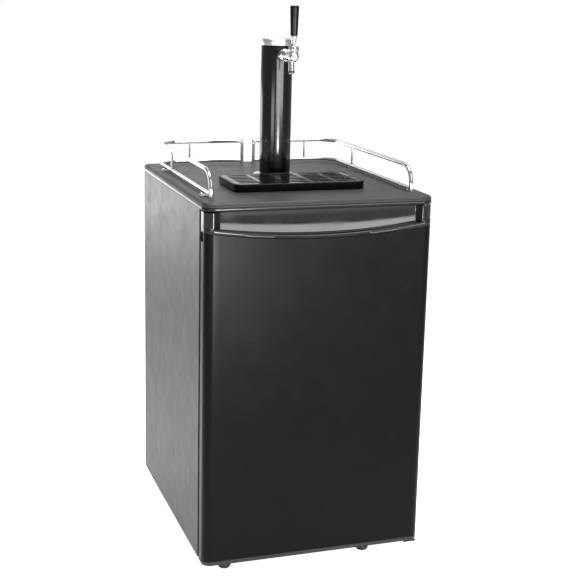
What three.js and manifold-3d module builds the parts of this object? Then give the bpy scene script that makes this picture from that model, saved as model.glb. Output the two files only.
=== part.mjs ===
// A free-standing kegerator: a one-door refrigerated cabinet for a beer keg, with a draught tower,
// a drip tray and two guard rails on its worktop.
// Millimetres. +Z is up, the door faces -Y, and the origin is on the floor under the middle.

import * as THREE from "three";
import { mergeVertices } from "three/addons/utils/BufferGeometryUtils.js";
import Module from "manifold-3d";

const wasm = await Module();
wasm.setup();

// ---------------------------------------------------------------- driving dimensions

const GAP = 0.3; // clearance between pieces that rest on each other

const HALF_WIDTH = 255; // of the cabinet and the door
const CABINET_FRONT = -258; // the face that the door seal meets
const CABINET_BACK = 288;
const CABINET_BOTTOM = 46;
const SHEET = 1.2; // steel sheet thickness
const MOULDING = 2.5; // plastic wall thickness

const WORKTOP_TOP = 844;
const WORKTOP_THICKNESS = 18;
const WORKTOP_OVERHANG = 3;
const WORKTOP_EDGE = 10; // rounding of the top edge
const WORKTOP_FRONT_CORNER = 28;
const WORKTOP_BACK_CORNER = 14;

const DOOR_FRONT = -308;
const DOOR_BACK = -268;
const DOOR_BOTTOM = 43;
const DOOR_TOP = 823.5;
const DOOR_CORNER = 20;
const DOOR_CAP_HEIGHT = 10;
const DOOR_FOAM_TOP = 760;

const LIP_END_Z = 783; // underside of the curved lip at the door's edges
const LIP_MIDDLE_Z = 762.5;
const LIP_HEIGHT = 11;
const LIP_PROUD = 8; // how far the lip's middle stands out from the door face
const LIP_HALF_LENGTH = 240;
const SCOOP_LEFT = -238;
const SCOOP_RIGHT = 230;

const CAVITY_HALF = 213;
const CAVITY_FLOOR = 92;
const CAVITY_TOP = 785;
const CAVITY_BACK = 243;
const STEP_FRONT = 112; // the step in the floor that covers the machine space
const STEP_TOP = 282;
const CAVITY_ROUND = 14;

const MACHINE_FRONT = 156;
const MACHINE_TOP = 240;

const HINGE_X = 243;
const HINGE_Y = -288;
const PIN_RADIUS = 4;

const TOWER_Y = 29;
const TOWER_RADIUS = 36;
const TOWER_WALL = 2.3;
const FLANGE_RADIUS = 53;
const FLANGE_HEIGHT = 10;
const TOWER_TOP = 1147;
const CAP_BAND = 13;
const CAP_TOP = 1165.5;
const DUCT_RADIUS = 23.7;

const TAP_Z = 1127; // centre line of the shank and the faucet body
const TAP_LEVER_Y = -90;
const LEVER_PIVOT_Z = 1141;
const FERRULE_BOTTOM = 1156;
const HANDLE_BOTTOM = 1173;
const HANDLE_TOP = 1238;

const TRAY_LEFT = -158;
const TRAY_RIGHT = 144;
const TRAY_FRONT = -188;
const TRAY_BACK = -38;
const TRAY_HEIGHT = 18;
const TRAY_CORNER = 16;
const GRATE_BAYS = 5;
const SLOTS_PER_BAY = 6;

const RAIL_X = 227;
const RAIL_BACK = 252;
const RAIL_FOOT_Y = -245;
const RAIL_CHAMFER = 32;
const RAIL_BEND = 48;
const RAIL_INNER_X = 15;
const RAIL_LOW = 8; // height of the lower tube's centre above the worktop
const RAIL_HIGH = 56;
const RAIL_RADIUS = 4.5;
const RAIL_SIDE_POST_Y = 111;
const RAIL_REAR_POST_X = 150;
const RAIL_SCREW_X = 240;
const RAIL_SCREWS_Y = [-215, 145];
const RAIL_TAB_HALF = 4.5;
const RAIL_TAB_HEIGHT = 5;

const FOOT_RADIUS = 15;
const FEET = {
  foot_front_left: [-186, -233],
  foot_front_right: [147, -233],
  foot_rear_left: [-205, 250],
  foot_rear_right: [205, 250],
};

const COIL_BACK = 316;
const COIL_RUNS = 11;

// ---------------------------------------------------------------- materials

const finish = (color, roughness, metalness) =>
  new THREE.MeshStandardMaterial({ color, roughness, metalness });

const MATERIALS = {
  black_paint: () => finish(0x2b2b2d, 0.45, 0.1),
  grey_paint: () => finish(0x55575a, 0.5, 0.2),
  black_plastic: () => finish(0x1d1d1f, 0.5, 0),
  gloss_plastic: () => finish(0x101012, 0.12, 0),
  tower_paint: () => finish(0x141416, 0.2, 0.1),
  worktop_plastic: () => finish(0x353638, 0.55, 0),
  white_plastic: () => finish(0xe4e5e3, 0.4, 0),
  seal_rubber: () => finish(0x3a3b3d, 0.8, 0),
  foam: () => finish(0xd8c48a, 0.95, 0),
  chrome: () => finish(0xe6e8ea, 0.08, 1),
  zinc: () => finish(0xa9adb0, 0.35, 1),
  aluminium: () => finish(0xc3c6c9, 0.35, 1),
  hose: () => finish(0xd9dedd, 0.25, 0),
};

// ---------------------------------------------------------------- geometry helpers

// A closed three.js geometry as a manifold-3d solid.
function toSolid(geometry) {
  const bare = geometry.clone();
  bare.deleteAttribute("normal");
  bare.deleteAttribute("uv");
  const merged = mergeVertices(bare, 1e-4);
  const vertProperties = new Float32Array(merged.attributes.position.array);
  const triVerts = new Uint32Array(merged.index.array);
  return new wasm.Manifold(new wasm.Mesh({ numProp: 3, vertProperties, triVerts }));
}

// A manifold-3d solid as a three.js geometry with flat-shaded faces.
function toGeometry(solid) {
  const { numProp, vertProperties, triVerts } = solid.getMesh();
  const count = vertProperties.length / numProp;
  const points = new Float32Array(count * 3);
  for (let i = 0; i < count; i++) {
    points.set(vertProperties.subarray(i * numProp, i * numProp + 3), i * 3);
  }
  const geometry = new THREE.BufferGeometry();
  geometry.setAttribute("position", new THREE.BufferAttribute(points, 3));
  geometry.setIndex(new THREE.BufferAttribute(new Uint32Array(triVerts), 1));
  geometry.computeVertexNormals();
  return geometry;
}

const join = (...parts) =>
  toGeometry(parts.map(toSolid).reduce((whole, part) => whole.add(part)));

const cut = (base, ...tools) =>
  toGeometry(tools.map(toSolid).reduce((rest, tool) => rest.subtract(tool), toSolid(base)));

const common = (...parts) =>
  toGeometry(parts.map(toSolid).reduce((shared, part) => shared.intersect(part)));

function box(x0, x1, y0, y1, z0, z1) {
  const geometry = new THREE.BoxGeometry(x1 - x0, y1 - y0, z1 - z0);
  return geometry.translate((x0 + x1) / 2, (y0 + y1) / 2, (z0 + z1) / 2);
}

// A rectangle whose four corners may have different radii, from the low-low corner anticlockwise.
function roundedRectangle(x0, x1, y0, y1, radii) {
  const [a, b, c, d] = Array.isArray(radii) ? radii : [radii, radii, radii, radii];
  const quarter = Math.PI / 2;
  const shape = new THREE.Shape();
  shape.moveTo(x0 + a, y0);
  shape.lineTo(x1 - b, y0);
  shape.absarc(x1 - b, y0 + b, b, -quarter, 0, false);
  shape.lineTo(x1, y1 - c);
  shape.absarc(x1 - c, y1 - c, c, 0, quarter, false);
  shape.lineTo(x0 + d, y1);
  shape.absarc(x0 + d, y1 - d, d, quarter, 2 * quarter, false);
  shape.lineTo(x0, y0 + a);
  shape.absarc(x0 + a, y0 + a, a, 2 * quarter, 3 * quarter, false);
  return shape;
}

// A closed outline through corner points, each rounded by a quadratic curve of its own reach.
function roundedOutline(corners) {
  const shape = new THREE.Shape();
  corners.forEach(([x, y, reach = 0], i) => {
    const at = new THREE.Vector2(x, y);
    const before = new THREE.Vector2(...corners.at(i - 1).slice(0, 2));
    const after = new THREE.Vector2(...corners[(i + 1) % corners.length].slice(0, 2));
    const start = at.clone().add(before.sub(at).setLength(reach));
    const end = at.clone().add(after.sub(at).setLength(reach));
    if (i === 0) shape.moveTo(start.x, start.y);
    else shape.lineTo(start.x, start.y);
    if (reach > 0) shape.quadraticCurveTo(at.x, at.y, end.x, end.y);
  });
  shape.closePath();
  return shape;
}

// A plan outline pulled up from z0 to z1.
function extrudeUp(shape, z0, z1, curveSegments = 3) {
  const settings = { depth: z1 - z0, bevelEnabled: false, curveSegments };
  return new THREE.ExtrudeGeometry(shape, settings).translate(0, 0, z0);
}

// An outline in X and Z, seen from the front, pulled back from y0 to y1.
function extrudeBack(shape, y0, y1, curveSegments = 3) {
  return extrudeUp(shape, -y1, -y0, curveSegments).rotateX(Math.PI / 2);
}

// An outline in Y and Z pulled across from x0 to x1.
function extrudeAcross(shape, x0, x1, curveSegments = 6) {
  return extrudeUp(shape, x0, x1, curveSegments).rotateX(Math.PI / 2).rotateZ(Math.PI / 2);
}

// A turned piece on a vertical axis: the profile holds [radius, height] points.
function turn(profile, x = 0, y = 0, sides = 24) {
  const points = profile.map(([radius, height]) => new THREE.Vector2(radius, height));
  const geometry = new THREE.LatheGeometry(points, sides).rotateX(Math.PI / 2);
  return facingOut(geometry).translate(x, y, 0);
}

// A turned piece on the tap's axis: the heights of the profile run forwards from the tower.
function turnForward(profile, sides = 20) {
  const points = profile.map(([radius, reach]) => new THREE.Vector2(radius, reach));
  const geometry = new THREE.LatheGeometry(points, sides).rotateX(Math.PI);
  return facingOut(geometry).translate(0, 0, TAP_Z);
}

// Turns the faces round if the profile was drawn the other way.
function facingOut(geometry) {
  if (toSolid(geometry).volume() > 0) return geometry;
  const order = geometry.index.array;
  for (let i = 0; i < order.length; i += 3) {
    [order[i + 1], order[i + 2]] = [order[i + 2], order[i + 1]];
  }
  return geometry;
}

const rod = (radius, z0, z1, x, y, sides = 16) =>
  turn([[0, z0], [radius, z0], [radius, z1], [0, z1]], x, y, sides);

const ring = (inner, outer, z0, z1, x, y, sides = 24) =>
  turn([[inner, z0], [outer, z0], [outer, z1], [inner, z1], [inner, z0]], x, y, sides);

// A path through points, straight between them, that an extrusion samples point by point.
class Route extends THREE.Curve {
  constructor(points) {
    super();
    this.points = points;
  }
  getPoint(t) {
    const place = t * (this.points.length - 1);
    const i = Math.min(Math.floor(place + 1e-9), this.points.length - 2);
    return this.points[i].clone().lerp(this.points[i + 1], place - i);
  }
  getPointAt(t) {
    return this.getPoint(t);
  }
  getTangentAt(t) {
    const last = this.points.length - 1;
    const i = Math.round(t * last);
    const before = this.points[Math.max(i - 1, 0)];
    const after = this.points[Math.min(i + 1, last)];
    return after.clone().sub(before).normalize();
  }
}

// Corner points [x, y, z, bend] joined by straight lines and bends of the given reach.
function bentRoute(corners, bendSteps = 5) {
  const at = corners.map(([x, y, z]) => new THREE.Vector3(x, y, z));
  const points = [at[0]];
  for (let i = 1; i < at.length - 1; i++) {
    const reach = corners[i][3];
    const start = at[i].clone().add(at[i - 1].clone().sub(at[i]).setLength(reach));
    const end = at[i].clone().add(at[i + 1].clone().sub(at[i]).setLength(reach));
    const bend = new THREE.QuadraticBezierCurve3(start, at[i], end);
    points.push(...bend.getPoints(bendSteps));
  }
  points.push(at.at(-1));
  return new Route(points);
}

function tube(route, radius, sides = 12) {
  const section = new THREE.Shape();
  section.absarc(0, 0, radius, 0, 2 * Math.PI, false);
  return new THREE.ExtrudeGeometry(section, {
    steps: route.points.length - 1,
    extrudePath: route,
    curveSegments: sides / 2, // a full circle gets two sides for each
  });
}

const kegerator = new THREE.Group();
kegerator.name = "kegerator";

function add(name, material, geometry, group = kegerator) {
  const mesh = new THREE.Mesh(geometry, MATERIALS[material]());
  mesh.name = name;
  group.add(mesh);
  return mesh;
}

// ---------------------------------------------------------------- cabinet shell

const CABINET_TOP = WORKTOP_TOP - WORKTOP_THICKNESS - GAP;
const FACE_INNER = 225; // where the steel face frame ends and the liner's flange begins
const FACE_TOP = 797;
const FACE_BOTTOM = 80;

const ductHole = (z0, z1) => rod(DUCT_RADIUS + GAP, z0, z1, 0, TOWER_Y, 24);

// One bent sheet: both sides, the top and a narrow face frame round the door opening.
function cabinetWrap() {
  const top = CABINET_TOP;
  const block = box(-HALF_WIDTH, HALF_WIDTH, CABINET_FRONT, CABINET_BACK, CABINET_BOTTOM, top);
  const inside = box(
    SHEET - HALF_WIDTH, HALF_WIDTH - SHEET,
    CABINET_FRONT + SHEET, CABINET_BACK + 1,
    CABINET_BOTTOM - 1, top - SHEET,
  );
  const mouth = box(
    -FACE_INNER, FACE_INNER,
    CABINET_FRONT - 1, CABINET_FRONT + SHEET + 1,
    CABINET_BOTTOM - 1, FACE_TOP,
  );
  return cut(block, inside, mouth, ductHole(top - 2 * SHEET, top + 1));
}

const cavityOutline = (grow) => {
  const front = CABINET_FRONT - 1;
  const back = CAVITY_BACK + grow;
  const round = CAVITY_ROUND + grow;
  return roundedOutline([
    [front, CAVITY_FLOOR - grow],
    [STEP_FRONT + grow, CAVITY_FLOOR - grow, round],
    [STEP_FRONT + grow, STEP_TOP - grow, round],
    [back, STEP_TOP - grow, round],
    [back, CAVITY_TOP + grow, round],
    [front, CAVITY_TOP + grow],
  ]);
};

// The moulded inside of the cabinet, with its step and the flange round its mouth.
function innerLiner() {
  const outer = extrudeAcross(cavityOutline(MOULDING), -CAVITY_HALF - MOULDING, CAVITY_HALF + MOULDING);
  const inner = extrudeAcross(cavityOutline(0), -CAVITY_HALF, CAVITY_HALF);
  const flange = box(
    GAP - FACE_INNER, FACE_INNER - GAP,
    CABINET_FRONT, CABINET_FRONT + SHEET,
    FACE_BOTTOM, FACE_TOP - GAP,
  );
  const trim = box(-HALF_WIDTH, HALF_WIDTH, CABINET_FRONT - 5, CABINET_FRONT, 0, WORKTOP_TOP);
  return cut(join(outer, flange), inner, trim, ductHole(CAVITY_TOP - 5, CAVITY_TOP + 10));
}

// Rigid foam between the wrap and the liner.
function cabinetFoam() {
  const side = HALF_WIDTH - SHEET - GAP;
  const front = CABINET_FRONT + SHEET + GAP;
  const block = box(
    -side, side, front, CABINET_BACK - 3 - GAP,
    CABINET_BOTTOM + SHEET + GAP, CABINET_TOP - SHEET - GAP,
  );
  const room = CAVITY_HALF + MOULDING + GAP;
  const cavity = extrudeAcross(cavityOutline(MOULDING + GAP), -room, room);
  const machine = box(
    -HALF_WIDTH, HALF_WIDTH, MACHINE_FRONT - GAP, CABINET_BACK + 1, 0, MACHINE_TOP + GAP,
  );
  return cut(block, cavity, machine, ductHole(CAVITY_TOP, CABINET_TOP));
}

// The steel pan under the cabinet, with upturned front and rear edges.
function basePan() {
  const side = HALF_WIDTH - SHEET - GAP;
  const floor = box(
    -side, side, CABINET_FRONT + 2 * SHEET, CABINET_BACK - 1, CABINET_BOTTOM, CABINET_BOTTOM + SHEET,
  );
  const front = box(
    GAP - FACE_INNER, FACE_INNER - GAP, CABINET_FRONT, CABINET_FRONT + SHEET,
    CABINET_BOTTOM, FACE_BOTTOM - GAP,
  );
  const bridge = box(
    GAP - FACE_INNER, FACE_INNER - GAP, CABINET_FRONT, CABINET_FRONT + 3 * SHEET,
    CABINET_BOTTOM, CABINET_BOTTOM + SHEET,
  );
  const rear = box(
    -side, side, CABINET_BACK - 1 - SHEET, CABINET_BACK - 1, CABINET_BOTTOM, CABINET_BOTTOM + 34,
  );
  const stems = Object.values(FEET).map(([x, y]) => rod(5.5, 40, 50, x, y));
  return cut(join(floor, front, bridge, rear), ...stems, glandHole());
}

const GLAND_X = -165;
const GLAND_Z = CABINET_BOTTOM + 18;

// A turned piece whose axis runs front to back, at the gland's place.
const turnBack = (profile) => turn(profile).rotateX(-Math.PI / 2).translate(GLAND_X, 0, GLAND_Z);

const glandHole = () => turnBack([[0, 270], [6.3, 270], [6.3, 300], [0, 300]]);

// The bush where the mains lead enters the machine space; its bore is left open.
function mainsGland() {
  const wall = CABINET_BACK - 1;
  return turnBack([
    [4, wall - 8], [6, wall - 8], [6, wall + GAP], [10, wall + GAP],
    [10, wall + 4], [7, wall + 7], [5.6, wall + 18], [4, wall + 18], [4, wall - 8],
  ]);
}

function worktop() {
  const bottom = WORKTOP_TOP - WORKTOP_THICKNESS;
  const half = HALF_WIDTH + WORKTOP_OVERHANG;
  const edge = WORKTOP_EDGE;
  const plan = roundedRectangle(
    -half + edge, half - edge, DOOR_FRONT + edge, CABINET_BACK - edge,
    [
      WORKTOP_FRONT_CORNER - edge, WORKTOP_FRONT_CORNER - edge,
      WORKTOP_BACK_CORNER - edge, WORKTOP_BACK_CORNER - edge,
    ],
  );
  const slab = new THREE.ExtrudeGeometry(plan, {
    depth: WORKTOP_THICKNESS,
    bevelThickness: edge,
    bevelSize: edge,
    bevelSegments: 3,
    curveSegments: 4,
  }).translate(0, 0, bottom - edge);
  const under = box(-half - 1, half + 1, DOOR_FRONT - 1, CABINET_BACK + 1, bottom - 30, bottom);
  const hingePocket = box(
    HINGE_PLATE_LEFT - 1, HALF_WIDTH, HINGE_Y - 14, HINGE_PLATE_BACK + 1,
    bottom - 1, bottom + HINGE_SHEET + 2 * GAP,
  );
  const pinPocket = rod(7, bottom - 1, bottom + 6.2, HINGE_X, HINGE_Y);
  const screwHoles = railScrewPlaces().map(([x, y]) =>
    rod(2.3, WORKTOP_TOP - 8, WORKTOP_TOP + 1, x, y, 10),
  );
  return cut(slab, under, hingePocket, pinPocket, ductHole(bottom - 1, WORKTOP_TOP + 1), ...screwHoles);
}

function backPanel() {
  const side = HALF_WIDTH - SHEET - GAP;
  return box(
    -side, side, CABINET_BACK - 3, CABINET_BACK - 3 + SHEET,
    MACHINE_TOP - SHEET, CABINET_TOP - SHEET - GAP,
  );
}

// The bent sheet that keeps the foam out of the machine space.
function machineLining() {
  const side = HALF_WIDTH - SHEET - GAP;
  const wall = box(
    -side, side, MACHINE_FRONT, MACHINE_FRONT + SHEET, CABINET_BOTTOM + SHEET + GAP, MACHINE_TOP,
  );
  const roof = box(-side, side, MACHINE_FRONT, CABINET_BACK - 3 - GAP, MACHINE_TOP - SHEET, MACHINE_TOP);
  return join(wall, roof);
}

// The sleeve that carries the beer line from the cavity up into the tower.
const lineDuct = () =>
  ring(DUCT_RADIUS - 2.5, DUCT_RADIUS, CAVITY_TOP - 3, WORKTOP_TOP - 1, 0, TOWER_Y);

add("cabinet_wrap", "black_paint", cabinetWrap());
add("inner_liner", "white_plastic", innerLiner());
add("cabinet_foam", "foam", cabinetFoam());
add("base_pan", "grey_paint", basePan());
add("back_panel", "grey_paint", backPanel());
add("machine_lining", "zinc", machineLining());
add("mains_gland", "black_plastic", mainsGland());
add("line_duct", "white_plastic", lineDuct());

// ---------------------------------------------------------------- cabinet interior

const EVAPORATOR_HALF = 150;
const EVAPORATOR_BOTTOM = 420;
const EVAPORATOR_TOP = 720;

// A flat roll-bonded plate held off the rear wall by four bosses.
function evaporatorPlate() {
  const back = CAVITY_BACK - GAP;
  const plate = extrudeBack(
    roundedRectangle(-EVAPORATOR_HALF, EVAPORATOR_HALF, EVAPORATOR_BOTTOM, EVAPORATOR_TOP, 8),
    back - 6, back - 4, 3,
  );
  const bosses = [-1, 1].flatMap((side) =>
    [EVAPORATOR_BOTTOM + 20, EVAPORATOR_TOP - 20].map((z) => {
      const x = side * (EVAPORATOR_HALF - 20);
      return box(x - 5, x + 5, back - 5, back, z - 5, z + 5);
    }),
  );
  return join(plate, ...bosses);
}

const THERMOSTAT_Y = -70;
const THERMOSTAT_Z = 735;
const THERMOSTAT_FACE = 178;

const thermostatHousing = () =>
  extrudeUp(
    roundedRectangle(
      THERMOSTAT_FACE, CAVITY_HALF - GAP, THERMOSTAT_Y - 50, THERMOSTAT_Y + 50, [10, 1, 1, 10],
    ),
    THERMOSTAT_Z - 33, THERMOSTAT_Z + 33,
  );

// The knob points into the cavity; a rib across it is its grip.
function thermostatKnob() {
  const face = THERMOSTAT_FACE - GAP;
  const disc = turn([[0, 0], [17, 0], [16, 6], [0, 6]], 0, 0, 28);
  const grip = box(-3, 3, -14, 14, 5, 13);
  return join(disc, grip).rotateY(-Math.PI / 2).translate(face, THERMOSTAT_Y, THERMOSTAT_Z);
}

// The plate that spreads the keg's weight, with its long edges turned up.
function kegFloorPlate() {
  const half = 200;
  const front = -236;
  const back = STEP_FRONT - CAVITY_ROUND - 2;
  const z = CAVITY_FLOOR + GAP;
  return join(
    box(-half, half, front, back, z, z + 2),
    box(-half, 2 - half, front, back, z, z + 8),
    box(half - 2, half, front, back, z, z + 8),
  );
}

add("evaporator_plate", "aluminium", evaporatorPlate());
add("thermostat_housing", "white_plastic", thermostatHousing());
add("thermostat_knob", "black_plastic", thermostatKnob());
add("keg_floor_plate", "zinc", kegFloorPlate());

// ---------------------------------------------------------------- machine space

const COMPRESSOR_X = 60;
const COMPRESSOR_Y = 222;
const COMPRESSOR_RADIUS = 56;
const PAN_TOP = CABINET_BOTTOM + SHEET + GAP;

// A welded can on a mounting plate with four short legs.
function compressor() {
  const r = COMPRESSOR_RADIUS;
  const z = PAN_TOP + 12;
  const can = turn(
    [
      [0, z], [r - 12, z], [r - 3, z + 10], [r, z + 28], [r, z + 78], [r - 3, z + 82],
      [r - 4, z + 108], [r - 14, z + 128], [r - 32, z + 138], [0, z + 141],
    ],
    COMPRESSOR_X, COMPRESSOR_Y, 24,
  );
  const [x, y] = [COMPRESSOR_X, COMPRESSOR_Y];
  const plate = box(x - 85, x + 85, y - 42, y + 42, z + 2, z + 5);
  const legs = [-1, 1].flatMap((sx) =>
    [-1, 1].map((sy) =>
      rod(9, PAN_TOP, z + 4, x + sx * 72, y + sy * 30, 10),
    ),
  );
  return join(can, plate, ...legs);
}

// The moulded box that covers the starter on the compressor's side.
function startRelay() {
  const x = COMPRESSOR_X + COMPRESSOR_RADIUS + 0.5;
  return extrudeUp(
    roundedRectangle(x, x + 34, COMPRESSOR_Y - 24, COMPRESSOR_Y + 24, [2, 8, 8, 2]), 100, 158,
  );
}

// A serpentine tube across the back, tied by upright straps and held off the cabinet by four tabs.
function condenserCoil() {
  const half = 215;
  const radius = 2.5;
  const y = COIL_BACK - 1 - radius;
  const bottom = 262;
  const top = 782;
  const pitch = (top - bottom) / (COIL_RUNS - 1);
  const corners = [[-half, y, bottom]];
  for (let run = 0; run < COIL_RUNS; run++) {
    const z = bottom + run * pitch;
    const side = run % 2 === 0 ? 1 : -1;
    if (run < COIL_RUNS - 1) {
      corners.push([side * half, y, z, 12], [side * half, y, z + pitch, 12]);
    } else {
      corners.push([side * half, y, z]);
    }
  }
  const serpentine = tube(bentRoute(corners, 3), radius, 6);
  const straps = [-2, -1, 0, 1, 2].map((place) => {
    const x = place * 90;
    return box(x - 3, x + 3, COIL_BACK - 2.5, COIL_BACK, bottom - 10, top + 10);
  });
  const tabs = [-1, 1].flatMap((side) =>
    [bottom + 2 * pitch, top - 2 * pitch].map((z) => {
      const x = side * 180;
      return box(x - 5, x + 5, CABINET_BACK - 3 + SHEET + GAP, y - 2, z - 8, z + 8);
    }),
  );
  return join(serpentine, ...straps, ...tabs);
}

add("compressor", "black_paint", compressor());
add("start_relay", "black_plastic", startRelay());
add("condenser_coil", "black_paint", condenserCoil());

// ---------------------------------------------------------------- levelling feet

// A rounded pad, a gripping collar and the threaded stem that passes through the pan.
function levellingFoot(x, y) {
  const r = FOOT_RADIUS;
  const top = CABINET_BOTTOM + SHEET;
  return turn(
    [
      [0, 0], [r - 6, 0], [r - 2.5, 2], [r - 0.5, 5.5], [r, 10], [r - 1, 13], [11, 14], [11, 24],
      [5, 24], [5, top], [0, top],
    ],
    x, y, 16,
  );
}

for (const [name, [x, y]] of Object.entries(FEET)) {
  add(name, "black_plastic", levellingFoot(x, y));
}

// ---------------------------------------------------------------- door hinges

const HINGE_SHEET = 3;
const HINGE_PLATE_LEFT = 223;
const HINGE_PLATE_BACK = -210;
const HINGE_BUSH_BOTTOM = 810;

const hingePinHole = () => rod(PIN_RADIUS + GAP, 0, WORKTOP_TOP + 60, HINGE_X, HINGE_Y);

// A stepped bracket: bolted under the pan, then down and forward beneath the door.
function lowerHingeBracket() {
  const under = CABINET_BOTTOM - GAP;
  const shelf = DOOR_BOTTOM - 3.3;
  const front = HINGE_Y - 12;
  const fold = CABINET_FRONT + 4;
  const profile = new THREE.Shape();
  profile.moveTo(front, shelf - HINGE_SHEET);
  profile.lineTo(fold + HINGE_SHEET, shelf - HINGE_SHEET);
  profile.lineTo(fold + HINGE_SHEET, under - HINGE_SHEET);
  profile.lineTo(HINGE_PLATE_BACK + 20, under - HINGE_SHEET);
  profile.lineTo(HINGE_PLATE_BACK + 20, under);
  profile.lineTo(fold, under);
  profile.lineTo(fold, shelf);
  profile.lineTo(front, shelf);
  profile.closePath();
  return cut(extrudeAcross(profile, HINGE_PLATE_LEFT, HALF_WIDTH - 2), hingePinHole());
}

function lowerHingePin() {
  const shelf = DOOR_BOTTOM - 3.3 - HINGE_SHEET;
  return turn(
    [
      [0, shelf - 3], [6.5, shelf - 3], [6.5, shelf - GAP], [PIN_RADIUS, shelf - GAP],
      [PIN_RADIUS, DOOR_BOTTOM + DOOR_CAP_HEIGHT - 1], [0, DOOR_BOTTOM + DOOR_CAP_HEIGHT - 1],
    ],
    HINGE_X, HINGE_Y, 16,
  );
}

// A flat plate in the worktop's pocket, over the cabinet's top and out above the door.
function upperHingePlate() {
  const z = CABINET_TOP + 2 * GAP;
  const plan = roundedRectangle(HINGE_PLATE_LEFT, HALF_WIDTH - 1, HINGE_Y - 13, HINGE_PLATE_BACK, 8);
  return cut(extrudeUp(plan, z, z + HINGE_SHEET), hingePinHole());
}

function upperHingePin() {
  const z = CABINET_TOP + 2 * GAP + HINGE_SHEET + GAP;
  return turn(
    [
      [0, HINGE_BUSH_BOTTOM + 2], [PIN_RADIUS, HINGE_BUSH_BOTTOM + 2], [PIN_RADIUS, z],
      [6.2, z], [6.2, z + 2], [0, z + 2],
    ],
    HINGE_X, HINGE_Y, 16,
  );
}

add("hinge_bracket_lower", "black_paint", lowerHingeBracket());
add("hinge_pin_lower", "black_paint", lowerHingePin());
add("hinge_plate_upper", "zinc", upperHingePlate());
add("hinge_pin_upper", "zinc", upperHingePin());
add("worktop", "worktop_plastic", worktop());

// ---------------------------------------------------------------- door

const SKIN = SHEET + GAP; // sheet and the clearance behind it
const BUSH_RADIUS = 7;

// The door's plan, shrunk by an inset: square at the back, rounded at the front.
const doorPlan = (inset, back = DOOR_BACK) =>
  roundedRectangle(
    inset - HALF_WIDTH, HALF_WIDTH - inset, DOOR_FRONT + inset, back,
    [DOOR_CORNER - inset, DOOR_CORNER - inset, 0, 0],
  );

// Everything below the lip's underside, raised by an offset, as a solid across the door.
function belowLip(raise) {
  const half = HALF_WIDTH + 5;
  const control = 2 * LIP_MIDDLE_Z - LIP_END_Z;
  const shape = new THREE.Shape();
  shape.moveTo(-half, 0);
  shape.lineTo(half, 0);
  shape.lineTo(half, LIP_END_Z + raise);
  shape.quadraticCurveTo(0, control + raise, -half, LIP_END_Z + raise);
  shape.closePath();
  return extrudeBack(shape, DOOR_FRONT - 30, DOOR_BACK + 30, 20);
}

function doorSkin() {
  const bottom = DOOR_BOTTOM + DOOR_CAP_HEIGHT + GAP;
  const outside = extrudeUp(doorPlan(0, DOOR_BACK - 3), bottom, DOOR_TOP, 5);
  const inside = extrudeUp(doorPlan(SHEET, DOOR_BACK + 5), bottom - 1, DOOR_TOP + 1, 5);
  return common(cut(outside, inside), belowLip(0));
}

// The door-top moulding: a block with a finger scoop behind a curved, proud lip.
function doorFascia() {
  const back = DOOR_BACK - MOULDING - 1 - GAP;
  const block = extrudeUp(doorPlan(0, back), DOOR_FOAM_TOP + GAP, DOOR_TOP, 5);
  const core = extrudeUp(doorPlan(SKIN, back + 5), DOOR_FOAM_TOP, DOOR_TOP + 5, 5);
  const skinRoom = cut(belowLip(GAP), core);
  const scoop = common(scoopSpace(), cut(box(-300, 300, -400, 0, 0, 900), belowLip(LIP_HEIGHT - 4)));
  const lip = common(lipBand(), lipPlan());
  const bushRoom = rod(BUSH_RADIUS + GAP, HINGE_BUSH_BOTTOM - GAP, DOOR_TOP + 1, HINGE_X, HINGE_Y);
  return cut(join(cut(block, skinRoom, scoop), lip), bushRoom);
}

// The hollow for the fingers, deepest at mid height and running out forwards at its floor.
function scoopSpace() {
  const rim = DOOR_TOP - 4;
  const deepest = DOOR_FRONT + 21;
  const profile = new THREE.Shape();
  profile.moveTo(DOOR_FRONT - 20, LIP_MIDDLE_Z);
  profile.lineTo(DOOR_FRONT + 11, LIP_MIDDLE_Z);
  profile.quadraticCurveTo(deepest, 778, deepest, 797);
  profile.quadraticCurveTo(deepest, 812, DOOR_FRONT + 8, rim);
  profile.lineTo(DOOR_FRONT - 20, rim);
  profile.closePath();
  return extrudeAcross(profile, SCOOP_LEFT, SCOOP_RIGHT, 6);
}

function lipBand() {
  const front = box(-LIP_HALF_LENGTH, LIP_HALF_LENGTH, DOOR_FRONT - 15, DOOR_FRONT + 6, 0, 900);
  return common(front, cut(belowLip(LIP_HEIGHT), belowLip(GAP)));
}

function lipPlan() {
  const shape = new THREE.Shape();
  const end = DOOR_FRONT - 1;
  shape.moveTo(-LIP_HALF_LENGTH, end);
  shape.quadraticCurveTo(0, end - 2 * (LIP_PROUD - 1), LIP_HALF_LENGTH, end);
  shape.lineTo(LIP_HALF_LENGTH, DOOR_FRONT + 7);
  shape.lineTo(-LIP_HALF_LENGTH, DOOR_FRONT + 7);
  shape.closePath();
  return extrudeUp(shape, LIP_MIDDLE_Z - 10, DOOR_TOP, 16);
}

function doorBottomCap() {
  const block = extrudeUp(doorPlan(0), DOOR_BOTTOM, DOOR_BOTTOM + DOOR_CAP_HEIGHT, 5);
  return cut(block, rod(BUSH_RADIUS + GAP, DOOR_BOTTOM - 1, DOOR_BOTTOM + 20, HINGE_X, HINGE_Y));
}

const PLUG_HALF = 200;
const PLUG_BOTTOM = 100;
const PLUG_TOP = 776;
const PLUG_BACK = -245;

const plug = (inset, y0, y1) =>
  extrudeBack(
    roundedRectangle(
      inset - PLUG_HALF, PLUG_HALF - inset, PLUG_BOTTOM + inset, PLUG_TOP - inset, 16 - inset,
    ),
    y0, y1,
  );

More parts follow.
